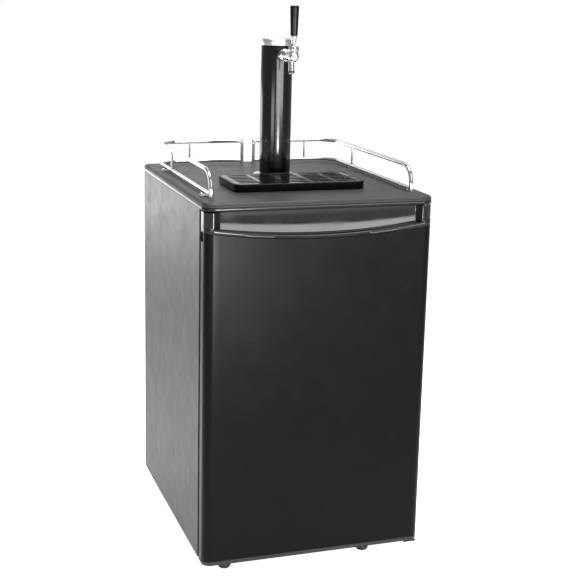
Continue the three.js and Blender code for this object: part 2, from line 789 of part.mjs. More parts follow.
// The moulded inside of the door: a flat margin for the seal and a raised middle.
function doorLiner() {
  const half = HALF_WIDTH - 2;
  const margin = box(
    -half, half, DOOR_BACK - MOULDING + GAP, DOOR_BACK,
    DOOR_BOTTOM + DOOR_CAP_HEIGHT + GAP, DOOR_TOP - 2,
  );
  const hollow = plug(MOULDING, DOOR_BACK - 10, PLUG_BACK - MOULDING);
  return cut(join(margin, plug(0, DOOR_BACK - 1, PLUG_BACK)), hollow);
}

function doorFoam() {
  const bottom = DOOR_BOTTOM + DOOR_CAP_HEIGHT + GAP;
  const slab = extrudeUp(doorPlan(SKIN, DOOR_BACK - MOULDING), bottom, DOOR_FOAM_TOP, 5);
  return join(slab, plug(MOULDING + GAP, DOOR_BACK - MOULDING - 1, PLUG_BACK - MOULDING - GAP));
}

// The magnetic seal: one rectangular ring against the face frame.
function doorGasket() {
  const y0 = DOOR_BACK + GAP;
  const y1 = CABINET_FRONT - GAP;
  const outer = extrudeBack(roundedRectangle(-HINGE_X, HINGE_X, 64, 814, 6), y0, y1, 3);
  const inner = extrudeBack(roundedRectangle(18 - HINGE_X, HINGE_X - 18, 82, 796, 3), y0 - 1, y1 + 1, 3);
  return cut(outer, inner);
}

const hingeBush = (z0, z1) => ring(PIN_RADIUS + GAP, BUSH_RADIUS, z0, z1, HINGE_X, HINGE_Y, 16);

add("door_skin", "black_paint", doorSkin());
add("door_fascia", "gloss_plastic", doorFascia());
add("door_bottom_cap", "black_plastic", doorBottomCap());
add("door_liner", "white_plastic", doorLiner());
add("door_foam", "foam", doorFoam());
add("door_gasket", "seal_rubber", doorGasket());
add("hinge_bush_lower", "white_plastic", hingeBush(DOOR_BOTTOM, DOOR_BOTTOM + DOOR_CAP_HEIGHT - GAP));
add("hinge_bush_upper", "white_plastic", hingeBush(HINGE_BUSH_BOTTOM, DOOR_TOP));

// ---------------------------------------------------------------- guard rails

function railScrewPlaces() {
  return [-1, 1].flatMap((side) => RAIL_SCREWS_Y.map((y) => [side * RAIL_SCREW_X, y]));
}

const RAIL_LOW_Z = WORKTOP_TOP + RAIL_LOW;
const RAIL_HIGH_Z = WORKTOP_TOP + RAIL_HIGH;

// The upper tube: up from its front foot, back, across the corner, inwards and down again.
function railUpper(side) {
  const foot = WORKTOP_TOP + GAP;
  return tube(
    bentRoute([
      [side * RAIL_X, RAIL_FOOT_Y, foot],
      [side * RAIL_X, RAIL_FOOT_Y, RAIL_HIGH_Z, RAIL_BEND],
      [side * RAIL_X, RAIL_BACK - RAIL_CHAMFER, RAIL_HIGH_Z, 10],
      [side * (RAIL_X - RAIL_CHAMFER), RAIL_BACK, RAIL_HIGH_Z, 10],
      [side * RAIL_INNER_X, RAIL_BACK, RAIL_HIGH_Z, 6],
      [side * RAIL_INNER_X, RAIL_BACK, foot],
    ]),
    RAIL_RADIUS,
  );
}

// The lower tube, between the upper tube's two legs, with its two posts and its two screw tabs.
function railLower(side) {
  const reach = RAIL_RADIUS + GAP;
  const low = tube(
    bentRoute([
      [side * RAIL_X, RAIL_FOOT_Y + reach + 1, RAIL_LOW_Z],
      [side * RAIL_X, RAIL_BACK - RAIL_CHAMFER, RAIL_LOW_Z, 10],
      [side * (RAIL_X - RAIL_CHAMFER), RAIL_BACK, RAIL_LOW_Z, 10],
      [side * (RAIL_INNER_X + reach), RAIL_BACK, RAIL_LOW_Z],
    ]),
    RAIL_RADIUS - 0.5,
  );
  const postTop = RAIL_HIGH_Z - reach;
  const posts = [
    rod(2.5, RAIL_LOW_Z, postTop, side * RAIL_X, RAIL_SIDE_POST_Y, 10),
    rod(2.5, RAIL_LOW_Z, postTop, side * RAIL_REAR_POST_X, RAIL_BACK, 10),
  ];
  const tabs = RAIL_SCREWS_Y.map((y) => {
    const [inner, outer] = [RAIL_X, RAIL_SCREW_X + RAIL_TAB_HALF]
      .map((x) => side * x)
      .sort((a, b) => a - b);
    const [front, back] = [y - RAIL_TAB_HALF, y + RAIL_TAB_HALF];
    return box(inner, outer, front, back, WORKTOP_TOP + GAP, WORKTOP_TOP + RAIL_TAB_HEIGHT);
  });
  const holes = RAIL_SCREWS_Y.map((y) =>
    rod(2.3, WORKTOP_TOP - 1, WORKTOP_TOP + 8, side * RAIL_SCREW_X, y, 10),
  );
  return cut(join(low, ...posts, ...tabs), ...holes);
}

function railScrew(x, y) {
  const tip = WORKTOP_TOP - 7;
  const seat = WORKTOP_TOP + RAIL_TAB_HEIGHT + GAP;
  return turn(
    [[0, tip], [2, tip], [2, seat], [4.2, seat], [3.8, seat + 1.8], [2, seat + 3], [0, seat + 3.4]],
    x, y, 16,
  );
}

for (const [hand, side] of Object.entries({ left: -1, right: 1 })) {
  add("rail_upper_" + hand, "chrome", railUpper(side));
  add("rail_lower_" + hand, "chrome", railLower(side));
  for (const [end, y] of [["front", RAIL_SCREWS_Y[0]], ["rear", RAIL_SCREWS_Y[1]]]) {
    add("rail_screw_" + hand + "_" + end, "chrome", railScrew(side * RAIL_SCREW_X, y));
  }
}

// ---------------------------------------------------------------- draught tower

const TOWER_FOOT = WORKTOP_TOP + FLANGE_HEIGHT;
const TOWER_FRONT = TOWER_Y - TOWER_RADIUS;
const TOWER_BORE = TOWER_RADIUS - TOWER_WALL;
const SHANK_RADIUS = 11;

// The reach of a place in front of the tower's face, for pieces turned on the tap's axis.
const ahead = (distance) => -TOWER_FRONT + distance;

function shankHole(clear) {
  const r = SHANK_RADIUS + clear;
  return turnForward([[0, ahead(-20)], [r, ahead(-20)], [r, ahead(40)], [0, ahead(40)]]);
}

// A domed ring on the worktop with a spigot inside the column.
function towerFlange() {
  const z = WORKTOP_TOP + GAP;
  return turn(
    [
      [29, z], [FLANGE_RADIUS, z], [FLANGE_RADIUS - 0.8, z + 3], [FLANGE_RADIUS - 4, z + 6],
      [FLANGE_RADIUS - 9, z + 8.2], [TOWER_RADIUS + 1, TOWER_FOOT - 0.3],
      [TOWER_BORE - GAP, TOWER_FOOT - GAP], [TOWER_BORE - GAP, TOWER_FOOT + 18],
      [29, TOWER_FOOT + 18], [29, z],
    ],
    0, TOWER_Y, 32,
  );
}

function towerColumn() {
  return cut(ring(TOWER_BORE, TOWER_RADIUS, TOWER_FOOT, TOWER_TOP, 0, TOWER_Y, 32), shankHole(GAP));
}

// A push-in cap: a skirt inside the column, a bright band and a shallow dome.
function towerCap() {
  const z = TOWER_TOP + GAP;
  const skirt = TOWER_BORE - GAP;
  return turn(
    [
      [0, z + 2], [skirt - 3, z + 2], [skirt - 3, z - 4], [skirt, z - 4], [skirt, z],
      [TOWER_RADIUS + 0.3, z], [TOWER_RADIUS + 0.3, z + CAP_BAND], [TOWER_RADIUS - 2, z + CAP_BAND + 2.5],
      [TOWER_RADIUS - 16, CAP_TOP - 1], [0, CAP_TOP],
    ],
    0, TOWER_Y, 32,
  );
}

const towerSleeve = () => ring(17, 28.5, TOWER_FOOT + 2, TAP_Z - 28, 0, TOWER_Y, 28);

function shank() {
  return turnForward([
    [4, ahead(-26)], [SHANK_RADIUS, ahead(-26)], [SHANK_RADIUS, ahead(24)], [4, ahead(24)], [4, ahead(-26)],
  ]);
}

// The escutcheon outside the column, hollowed to sit on its round face.
function shankCollar() {
  const plain = turnForward([
    [SHANK_RADIUS + GAP, ahead(-8)], [13.5, ahead(-8)], [13.5, ahead(14.5)], [12.7, ahead(16.5)],
    [SHANK_RADIUS + GAP, ahead(16.5)], [SHANK_RADIUS + GAP, ahead(-8)],
  ]);
  return cut(plain, rod(TOWER_RADIUS + GAP, TAP_Z - 40, TAP_Z + 40, 0, TOWER_Y, 32));
}

function shankNut() {
  const hexagon = turnForward([[0, ahead(-14)], [15, ahead(-14)], [15, ahead(0)], [0, ahead(0)]], 6);
  const bore = rod(TOWER_BORE - GAP, TAP_Z - 40, TAP_Z + 40, 0, TOWER_Y, 32);
  return common(cut(hexagon, shankHole(GAP)), bore);
}

// The slotted ring that clamps the faucet to the shank.
function couplingNut() {
  const z0 = ahead(19);
  const r = 14.6;
  const nut = turnForward([
    [SHANK_RADIUS + GAP, z0], [r - 1, z0], [r, z0 + 1.5], [r, z0 + 9.5],
    [r - 1.8, z0 + 13], [SHANK_RADIUS + GAP, z0 + 13], [SHANK_RADIUS + GAP, z0],
  ], 24);
  const slots = [0, 1, 2, 3, 4, 5].map((i) => {
    const angle = (i * Math.PI) / 3;
    const [x, z] = [(r + 0.4) * Math.sin(angle), TAP_Z + (r + 0.4) * Math.cos(angle)];
    return box(x - 1.6, x + 1.6, -z0 - 9.5, -z0 - 3, z - 1.6, z + 1.6);
  });
  return cut(nut, ...slots);
}

// The faucet: a barrel on the tap's axis, an upright lever housing and the spout.
function faucetBody() {
  const barrel = turnForward([
    [0, ahead(24.5)], [10.5, ahead(24.5)], [10.5, ahead(34)], [9.6, ahead(37)], [10.2, ahead(46)],
    [11.3, ahead(56)], [11.3, ahead(85)], [9.5, ahead(91)], [5, ahead(94)], [0, ahead(94)],
  ]);
  const housing = rod(11, TAP_Z - 9, TAP_Z + 11, 0, TAP_LEVER_Y, 24);
  const spout = tube(
    bentRoute([[0, -72, TAP_Z - 3], [0, -75.5, TAP_Z - 18, 8], [0, -79, TAP_Z - 35.5]]), 6.9, 14,
  );
  const straight = (y0, z0, y1, z1, radius) =>
    tube(new Route([new THREE.Vector3(0, y0, z0), new THREE.Vector3(0, y1, z1)]), radius, 14);
  const nozzle = straight(-78.6, TAP_Z - 33.5, -79.6, TAP_Z - 38.5, 5.2);
  const spoutBore = straight(-77.6, TAP_Z - 28.5, -80, TAP_Z - 40.5, 3.8);
  const leverBore = rod(8, TAP_Z + 1, TAP_Z + 12, 0, TAP_LEVER_Y);
  return cut(join(barrel, housing, spout, nozzle), spoutBore, leverBore);
}

// The ring nut that holds the lever down; its mouth widens so that the lever can tilt.
function faucetBonnet() {
  const z = TAP_Z + 11 + GAP;
  return turn(
    [
      [7.5, z], [10.3, z], [11.2, z + 2], [11.6, z + 6], [11.2, z + 10], [10.4, z + 11.7],
      [9.5, z + 11.7], [7.5, z],
    ],
    0, TAP_LEVER_Y, 24,
  );
}

// A ball in the bonnet, a short tail below it and the threaded stud above.
function faucetLever() {
  const z = LEVER_PIVOT_Z;
  return turn(
    [
      [0, z - 8], [3, z - 8], [3, z - 5.4], [6, z - 2], [6, z + 1.5], [4, z + 5],
      [3, z + 6], [3, HANDLE_BOTTOM + 8], [0, HANDLE_BOTTOM + 8],
    ],
    0, TAP_LEVER_Y, 20,
  );
}

function leverFerrule() {
  const z0 = FERRULE_BOTTOM;
  const z1 = HANDLE_BOTTOM - GAP;
  const bore = 3 + GAP;
  return turn(
    [[bore, z0], [4.2, z0], [4.7, z0 + 1.5], [6.9, z1 - 3], [6.9, z1], [bore, z1], [bore, z0]],
    0, TAP_LEVER_Y, 20,
  );
}

// A tapered black handle, widest near its rounded top, with the stud's blind hole below.
function tapHandle() {
  const z0 = HANDLE_BOTTOM;
  const z1 = HANDLE_TOP;
  const plain = turn(
    [[0, z0], [7.8, z0], [8, z0 + 1], [9.9, z1 - 5], [9.9, z1 - 2], [8.3, z1], [0, z1]],
    0, TAP_LEVER_Y, 24,
  );
  return cut(plain, rod(3 + GAP, z0 - 1, z0 + 8 + GAP, 0, TAP_LEVER_Y, 16));
}

// The line drops from the shank through the tower and the duct to its union under the ceiling.
const LINE_Y = 34;
const LINE_BOTTOM = 757;

const beerLine = () =>
  tube(
    bentRoute([
      [0, TOWER_FRONT + 26 + GAP, TAP_Z], [0, LINE_Y, TAP_Z, 12], [0, LINE_Y, LINE_BOTTOM],
    ]),
    4.7, 12,
  );

function lineUnion() {
  const z = LINE_BOTTOM - GAP;
  const barb = z - 26;
  return turn(
    [[0, barb], [5, barb], [6.5, barb + 2], [6.5, barb + 10], [9, barb + 11], [9, z], [0, z]],
    0, LINE_Y, 6,
  );
}

add("tower_flange", "chrome", towerFlange());
add("tower_column", "tower_paint", towerColumn());
add("tower_cap", "chrome", towerCap());
add("tower_sleeve", "foam", towerSleeve());
add("shank", "chrome", shank());
add("shank_collar", "chrome", shankCollar());
add("shank_nut", "zinc", shankNut());
add("coupling_nut", "chrome", couplingNut());
add("faucet_body", "chrome", faucetBody());
add("faucet_bonnet", "chrome", faucetBonnet());
add("faucet_lever", "chrome", faucetLever());
add("lever_ferrule", "chrome", leverFerrule());
add("tap_handle", "black_plastic", tapHandle());
add("beer_line", "hose", beerLine());
add("line_union", "chrome", lineUnion());

// ---------------------------------------------------------------- drip tray

const TRAY_WALL = 4;
const GRATE_THICKNESS = 3;
const RIB_HALF = 5;
const TRAY_BOTTOM = WORKTOP_TOP + GAP;
const TRAY_TOP = WORKTOP_TOP + TRAY_HEIGHT;
const GRATE_BOTTOM = TRAY_TOP - GRATE_THICKNESS - 0.5;

const trayPlan = (inset) =>
  roundedRectangle(
    TRAY_LEFT + inset, TRAY_RIGHT - inset, TRAY_FRONT + inset, TRAY_BACK - inset, TRAY_CORNER - inset,
  );

// An open tray whose wall steps inwards to form a ledge for the grate.
function dripTray() {
  const block = extrudeUp(trayPlan(0), TRAY_BOTTOM, TRAY_TOP);
  const seat = extrudeUp(trayPlan(TRAY_WALL), GRATE_BOTTOM - GAP, TRAY_TOP + 1);
  const well = extrudeUp(trayPlan(2 * TRAY_WALL), TRAY_BOTTOM + 3, TRAY_TOP + 1);
  return cut(block, seat, well);
}

// A plate with rows of slots in bays, divided by ribs that run front to back.
function dripGrate() {
  const inset = TRAY_WALL + 0.5;
  const plate = extrudeUp(trayPlan(inset), GRATE_BOTTOM, GRATE_BOTTOM + GRATE_THICKNESS);
  const left = TRAY_LEFT + inset + 6;
  const bay = (TRAY_RIGHT - inset - 6 - left) / GRATE_BAYS;
  const front = TRAY_FRONT + inset + 8;
  const pitch = (TRAY_BACK - inset - 8 - front) / SLOTS_PER_BAY;
  const slots = [];
  for (let i = 0; i < GRATE_BAYS; i++) {
    for (let j = 0; j < SLOTS_PER_BAY; j++) {
      const x = left + i * bay;
      const y = front + j * pitch;
      slots.push(
        box(x + RIB_HALF, x + bay - RIB_HALF, y + 4, y + pitch - 4, GRATE_BOTTOM - 1, TRAY_TOP + 1),
      );
    }
  }
  return cut(plate, ...slots);
}

add("drip_tray", "gloss_plastic", dripTray());
add("drip_grate", "gloss_plastic", dripGrate());

export default kegerator;
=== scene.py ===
"""A kegerator: a one-door beer refrigerator with a draught tower, a drip tray and two guard rails.

Everything is in metres in the CAD frame: +Z is up, the door faces -Y and the floor is at z = 0.
"""
import math

import bmesh
import bpy
from mathutils import Matrix, Vector


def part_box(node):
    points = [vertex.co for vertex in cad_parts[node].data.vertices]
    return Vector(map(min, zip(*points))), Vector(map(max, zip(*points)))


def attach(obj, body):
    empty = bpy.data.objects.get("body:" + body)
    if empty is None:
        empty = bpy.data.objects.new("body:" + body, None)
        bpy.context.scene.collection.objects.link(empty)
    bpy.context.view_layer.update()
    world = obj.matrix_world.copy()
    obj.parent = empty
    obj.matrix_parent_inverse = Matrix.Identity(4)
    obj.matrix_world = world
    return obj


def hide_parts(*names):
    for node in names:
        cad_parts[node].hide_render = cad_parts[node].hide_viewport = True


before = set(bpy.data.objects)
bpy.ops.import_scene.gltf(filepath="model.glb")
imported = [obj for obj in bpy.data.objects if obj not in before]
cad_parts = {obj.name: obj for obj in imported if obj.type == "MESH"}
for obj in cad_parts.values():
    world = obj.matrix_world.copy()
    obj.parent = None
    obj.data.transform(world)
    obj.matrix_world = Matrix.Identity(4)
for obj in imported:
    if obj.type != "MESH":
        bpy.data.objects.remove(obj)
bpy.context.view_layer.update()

MM = 0.001


# ---- camera, light and floor

CAMERA_AT = Vector((-0.8753, -2.6547, 1.268))
CAMERA_YAW = math.radians(18.81)
CAMERA_PITCH = math.radians(12.72)
CAMERA_ROLL = math.radians(1.32)

STUDIO_RADIUS = 3.6
FLOOR_FILL = 0.45
STUDIO_FILL = 0.3  # how bright the studio is in reflections, against its floor


def make_camera():
    """The camera looks to the right of +Y and a little down."""
    level = math.cos(CAMERA_PITCH)
    forward = Vector((math.sin(CAMERA_YAW) * level, math.cos(CAMERA_YAW) * level, -math.sin(CAMERA_PITCH)))
    right = forward.cross(Vector((0, 0, 1))).normalized()
    up = right.cross(forward)
    tilted_right = right * math.cos(CAMERA_ROLL) + up * math.sin(CAMERA_ROLL)
    tilted_up = up * math.cos(CAMERA_ROLL) - right * math.sin(CAMERA_ROLL)
    data = bpy.data.cameras.new("camera")
    data.lens = 75.74
    data.shift_y = -0.04
    data.clip_end = 200
    camera = bpy.data.objects.new("camera", data)
    axes = Matrix((tilted_right, tilted_up, -forward)).transposed()
    camera.matrix_world = Matrix.Translation(CAMERA_AT) @ axes.to_4x4()
    bpy.context.collection.objects.link(camera)
    bpy.context.scene.camera = camera


def softbox(name, place, target, width, height, watts):
    """A rectangular studio light at a place, turned to a target."""
    data = bpy.data.lights.new(name, "AREA")
    data.shape = "RECTANGLE"
    data.size = width
    data.size_y = height
    data.energy = watts
    light = bpy.data.objects.new(name, data)
    light.location = place
    light.rotation_euler = (Vector(target) - Vector(place)).to_track_quat("-Z", "Y").to_euler()
    bpy.context.collection.objects.link(light)
    return light


def make_lights():
    """Upright softboxes round the front, one low in front, and dim ones behind and overhead."""
    upright("front_light", (-17, 20), (0.45, 1.1), 8)
    upright("front_right_light", (20, 35), (0.5, 1.1), 8.5)
    upright("front_left_light", (-50, -30), (0.45, 1.1), 5)
    upright("low_light", (-4, 9), (0.01, 0.25), 60)
    upright("rear_left_light", (-172, -134), (0.03, 0.9), 2.8)
    upright("rear_light", (-200, -160), (1.0, 2.4), 0.85)
    softbox("rear_high_light", (1.0, 2.2, 3.0), (0, 0, 1.1), 2.8, 2.0, 11)
    softbox("front_high_light", (0.6, -2.3, 2.3), (0, -0.3, 0.8), 1.8, 1.8, 14)
    overhead = softbox("overhead_light", (0, 0.4, 3.2), (0, 0.41, 0), 2.4, 2.4, 26)
    overhead.data.spread = math.radians(50)
    bpy.context.scene.view_settings.view_transform = "Standard"


def upright(name, bearings, heights, radiance):
    """An upright softbox that spans two bearings, in degrees round the object from straight in front."""
    first, last = (math.radians(bearing) for bearing in bearings)
    low, high = heights
    middle = (first + last) / 2
    width = 2 * STUDIO_RADIUS * math.tan((last - first) / 2)
    height = high - low
    level = (low + high) / 2
    place = (STUDIO_RADIUS * math.sin(middle), -STUDIO_RADIUS * math.cos(middle), level)
    return softbox(name, place, (0, 0, level), width, height, math.pi * width * height * radiance)


def studio_level(tree, dim, bright):
    """A strength that is bright seen directly and dim in what it gives off."""
    path = tree.nodes.new("ShaderNodeLightPath")
    level = tree.nodes.new("ShaderNodeMapRange")
    level.inputs["To Min"].default_value = dim
    level.inputs["To Max"].default_value = bright
    tree.links.new(path.outputs["Is Camera Ray"], level.inputs["Value"])
    return level.outputs["Result"]


def make_backdrop():
    """Seen directly, the studio is white like its floor; what it gives off is dim."""
    world = bpy.data.worlds.new("studio")
    world.use_nodes = True
    tree = world.node_tree
    background = tree.nodes["Background"]
    tree.links.new(studio_level(tree, STUDIO_FILL, 1.0), background.inputs["Strength"])
    background.inputs["Color"].default_value = (1, 1, 1, 1)
    bpy.context.scene.world = world


def make_floor():
    """A plain pale floor, lit so evenly that it has no horizon."""
    radius = 6.0
    rings = 96
    verts = [
        (radius * math.cos(2 * math.pi * k / rings), radius * math.sin(2 * math.pi * k / rings), 0)
        for k in range(rings)
    ]
    floor = new_mesh("floor", verts, [tuple(range(rings))])
    material = bpy.data.materials.new("pale_floor")
    material.use_nodes = True
    tree = material.node_tree
    shader = tree.nodes["Principled BSDF"]
    shader.inputs["Base Color"].default_value = (0.6, 0.6, 0.6, 1)
    shader.inputs["Roughness"].default_value = 0.9
    shader.inputs["Specular IOR Level"].default_value = 0.1
    shader.inputs["Emission Color"].default_value = (1, 1, 1, 1)
    tree.links.new(studio_level(tree, FLOOR_FILL, 0.9), shader.inputs["Emission Strength"])
    floor.data.materials.append(material)


# ---- mesh helpers


def smooth_over(mesh, sharp_deg):
    """Shades a mesh smooth except across edges sharper than sharp_deg."""
    mesh.polygons.foreach_set("use_smooth", [True] * len(mesh.polygons))
    mesh.set_sharp_from_angle(angle=math.radians(sharp_deg))


def new_mesh(name, verts, faces, sharp_deg=35):
    """An object whose faces are smooth except across edges sharper than sharp_deg."""
    mesh = bpy.data.meshes.new(name)
    mesh.from_pydata([tuple(v) for v in verts], [], faces)
    mesh.validate()
    mesh.update()
    smooth_over(mesh, sharp_deg)
    obj = bpy.data.objects.new(name, mesh)
    bpy.context.collection.objects.link(obj)
    return obj


def softened(points, reach, steps=3, closed=False):
    """A polyline with each corner replaced by a short quadratic curve."""
    at = [Vector(p) for p in points]
    count = len(at)
    result = []
    for i, corner in enumerate(at):
        if not closed and i in (0, count - 1):
            result.append(corner)
            continue
        before = at[i - 1] - corner
        after = at[(i + 1) % count] - corner
        start = corner + before.normalized() * min(reach, before.length * 0.45)
        end = corner + after.normalized() * min(reach, after.length * 0.45)
        for k in range(steps + 1):
            t = k / steps
            result.append(start * (1 - t) ** 2 + corner * 2 * t * (1 - t) + end * t ** 2)
    return result


def bevel(obj, width, segments=3, angle_deg=35):
    """Rounds the sharp edges and keeps the flat faces flat."""
    rounding = obj.modifiers.new("rounding", "BEVEL")
    rounding.width = width
    rounding.segments = segments
    rounding.limit_method = "ANGLE"
    rounding.angle_limit = math.radians(angle_deg)
    rounding.harden_normals = True
    return obj


def facing(axis, place):
    """Turns an upright piece to an axis and moves it to a place."""
    turns = {"+Z": ("X", 0), "-Z": ("X", 180), "+Y": ("X", -90), "-Y": ("X", 90), "-X": ("Y", -90)}
    about, degrees = turns[axis]
    return Matrix.Translation(Vector(place)) @ Matrix.Rotation(math.radians(degrees), 4, about)


def turned(name, profile, place, soften=0.0, steps=72, axis="+Z", closed=False):
    """A turned piece. The profile holds [radius, height]; axis "-Y" lays it forwards."""
    line = softened(profile, soften, 3, closed) if soften else [Vector(p) for p in profile]
    verts, rings = [], []
    for point in line:
        if point.x < 1e-7:
            rings.append([len(verts)])
            verts.append((0, 0, point.y))
            continue
        rings.append(list(range(len(verts), len(verts) + steps)))
        for k in range(steps):
            angle = 2 * math.pi * k / steps
            verts.append((point.x * math.cos(angle), point.x * math.sin(angle), point.y))
    pairs = list(zip(rings, rings[1:]))
    if closed:
        pairs.append((rings[-1], rings[0]))
    faces = []
    for low, high in pairs:
        if len(low) == 1 and len(high) == 1:
            continue
        for k in range(steps):
            n = (k + 1) % steps
            corners = [low[k % len(low)], low[n % len(low)], high[n % len(high)], high[k % len(high)]]
            faces.append(list(dict.fromkeys(corners)))
    if not closed:
        faces += [rings[0][::-1]] if len(rings[0]) > 1 else []
        faces += [rings[-1]] if len(rings[-1]) > 1 else []
    placed = facing(axis, place)
    return face_out(new_mesh(name, [placed @ Vector(v) for v in verts], faces))


def face_out(obj):
    """Makes the faces of a closed mesh point outwards."""
    bm = bmesh.new()
    bm.from_mesh(obj.data)
    bmesh.ops.recalc_face_normals(bm, faces=bm.faces)
    bm.to_mesh(obj.data)
    bm.free()
    obj.data.update()
    return obj


def swept(name, path, section, closed=False, sharp_deg=35):
    """A section of (side, up) offsets carried along a path without twisting."""
    path = [Vector(p) for p in path]
    count = len(path)
    verts, faces = [], []
    side = None
    for i, point in enumerate(path):
        before = path[i - 1] if closed or i else point
        after = path[(i + 1) % count] if closed or i < count - 1 else point
        along = (after - before).normalized()
        if side is None:
            guide = Vector((0, 0, 1)) if abs(along.z) < 0.9 else Vector((0, 1, 0))
            side = along.cross(guide).normalized()
        side = (side - along * side.dot(along)).normalized()
        up = side.cross(along)
        verts += [point + side * a + up * b for a, b in section]
    n = len(section)
    for i in range(count if closed else count - 1):
        low, high = i * n, ((i + 1) % count) * n
        for k in range(n):
            m = (k + 1) % n
            faces.append((low + k, low + m, high + m, high + k))
    if not closed:
        faces.append(tuple(range(n))[::-1])
        faces.append(tuple((count - 1) * n + k for k in range(n)))
    return face_out(new_mesh(name, verts, faces, sharp_deg=sharp_deg))


def circle(radius, sides=20):
    return [
        (radius * math.cos(2 * math.pi * k / sides), radius * math.sin(2 * math.pi * k / sides))
        for k in range(sides)
    ]


def tube(name, corners, radius, sides=20, bend_steps=10):
    """A round tube through corner points (x, y, z, reach of the bend)."""
    path = [Vector(corners[0][:3])]
    for i in range(1, len(corners) - 1):
        at = Vector(corners[i][:3])
        reach = corners[i][3]
        before = Vector(corners[i - 1][:3]) - at
        after = Vector(corners[i + 1][:3]) - at
        start = at + before.normalized() * reach
        end = at + after.normalized() * reach
        for k in range(bend_steps + 1):
            t = k / bend_steps
            path.append(start * (1 - t) ** 2 + at * 2 * t * (1 - t) + end * t ** 2)
    path.append(Vector(corners[-1][:3]))
    return swept(name, path, circle(radius, sides))


def rounded_rectangle(x0, x1, y0, y1, radii, steps=8):
    """Points anticlockwise from the low-low corner; radii run the same way."""
    if not isinstance(radii, (list, tuple)):
        radii = [radii] * 4
    centres = [
        (x0 + radii[0], y0 + radii[0], 180), (x1 - radii[1], y0 + radii[1], 270),
        (x1 - radii[2], y1 - radii[2], 0), (x0 + radii[3], y1 - radii[3], 90),
    ]
    points = []
    for (x, y, start), radius in zip(centres, radii):
        for k in range(steps + 1 if radius else 1):
            angle = math.radians(start + 90 * k / steps)
            points.append((x + radius * math.cos(angle), y + radius * math.sin(angle)))
    return points


def plan_of(low, high, inset, radii, steps=10):
    """A box's outline from above, set in by the same amount all round."""
    return rounded_rectangle(low.x + inset, high.x - inset, low.y + inset, high.y - inset, radii, steps)


def levels_of(outline, base, *steps):
    """Levels for a stacked piece: each step is an inset and a height above a base, in millimetres."""
    return [(outline(inset * MM), base + height * MM) for inset, height in steps]


AXIS_ORDER = {"Z": lambda a, b, c: (a, b, c), "Y": lambda a, b, c: (a, c, b), "X": lambda a, b, c: (c, a, b)}


def stacked(name, levels, axis="Z", sharp_deg=35):
    """A closed solid through outlines of equal length, each at its own height on an axis."""
    place = AXIS_ORDER[axis]
    verts, faces = [], []
    count = len(levels[0][0])
    for outline, height in levels:
        verts += [place(a, b, height) for a, b in outline]
    for i in range(len(levels) - 1):
        low, high = i * count, (i + 1) * count
        for k in range(count):
            m = (k + 1) % count
            faces.append((low + k, low + m, high + m, high + k))
    faces.append(tuple(range(count)))
    faces.append(tuple((len(levels) - 1) * count + k for k in range(count)))
    return face_out(new_mesh(name, verts, faces, sharp_deg=sharp_deg))


def prism(name, outline, low, high, axis="Z", round_by=0.0):
    obj = stacked(name, [(outline, low), (outline, high)], axis)
    return bevel(obj, round_by) if round_by else obj


def block(name, low, high, round_by=0.0005):
    outline = [(low[0], low[1]), (high[0], low[1]), (high[0], high[1]), (low[0], high[1])]
    return prism(name, outline, low[2], high[2], "Z", round_by)


def joined(name, parts):
    """Several objects with their modifiers applied, as one object."""
    verts, faces = [], []
    graph = bpy.context.evaluated_depsgraph_get()
    for part in parts:
        shape = part.evaluated_get(graph).to_mesh()
        start = len(verts)
        verts += [part.matrix_world @ v.co for v in shape.vertices]
        faces += [tuple(start + i for i in face.vertices) for face in shape.polygons]
        part.evaluated_get(graph).to_mesh_clear()
    for part in parts:
        bpy.data.objects.remove(part)
    return new_mesh(name, verts, faces)


def carved(target, cutter):
    """Cuts one object out of another and removes the cutter."""
    hole = target.modifiers.new("hole", "BOOLEAN")
    hole.operation = "DIFFERENCE"
    hole.solver = "EXACT"
    hole.object = cutter
    graph = bpy.context.evaluated_depsgraph_get()
    mesh = bpy.data.meshes.new_from_object(target.evaluated_get(graph))
    target.modifiers.clear()
    target.data = mesh
    bpy.data.objects.remove(cutter)
    smooth_over(mesh, 35)
    return target


def refined(node, round_by=0.0006, segments=2):
    """A copy of a flat-sided CAD node with its flats merged and its edges rounded."""
    bm = bmesh.new()
    bm.from_mesh(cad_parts[node].data)
    bmesh.ops.remove_doubles(bm, verts=bm.verts, dist=1e-6)
    bmesh.ops.dissolve_limit(bm, angle_limit=math.radians(1), verts=bm.verts, edges=bm.edges)
    mesh = bpy.data.meshes.new(node + "_visual")
    bm.to_mesh(mesh)
    bm.free()
    smooth_over(mesh, 32)
    obj = bpy.data.objects.new(node + "_visual", mesh)
    bpy.context.collection.objects.link(obj)
    return bevel(obj, round_by, segments) if round_by else obj


# ---- materials


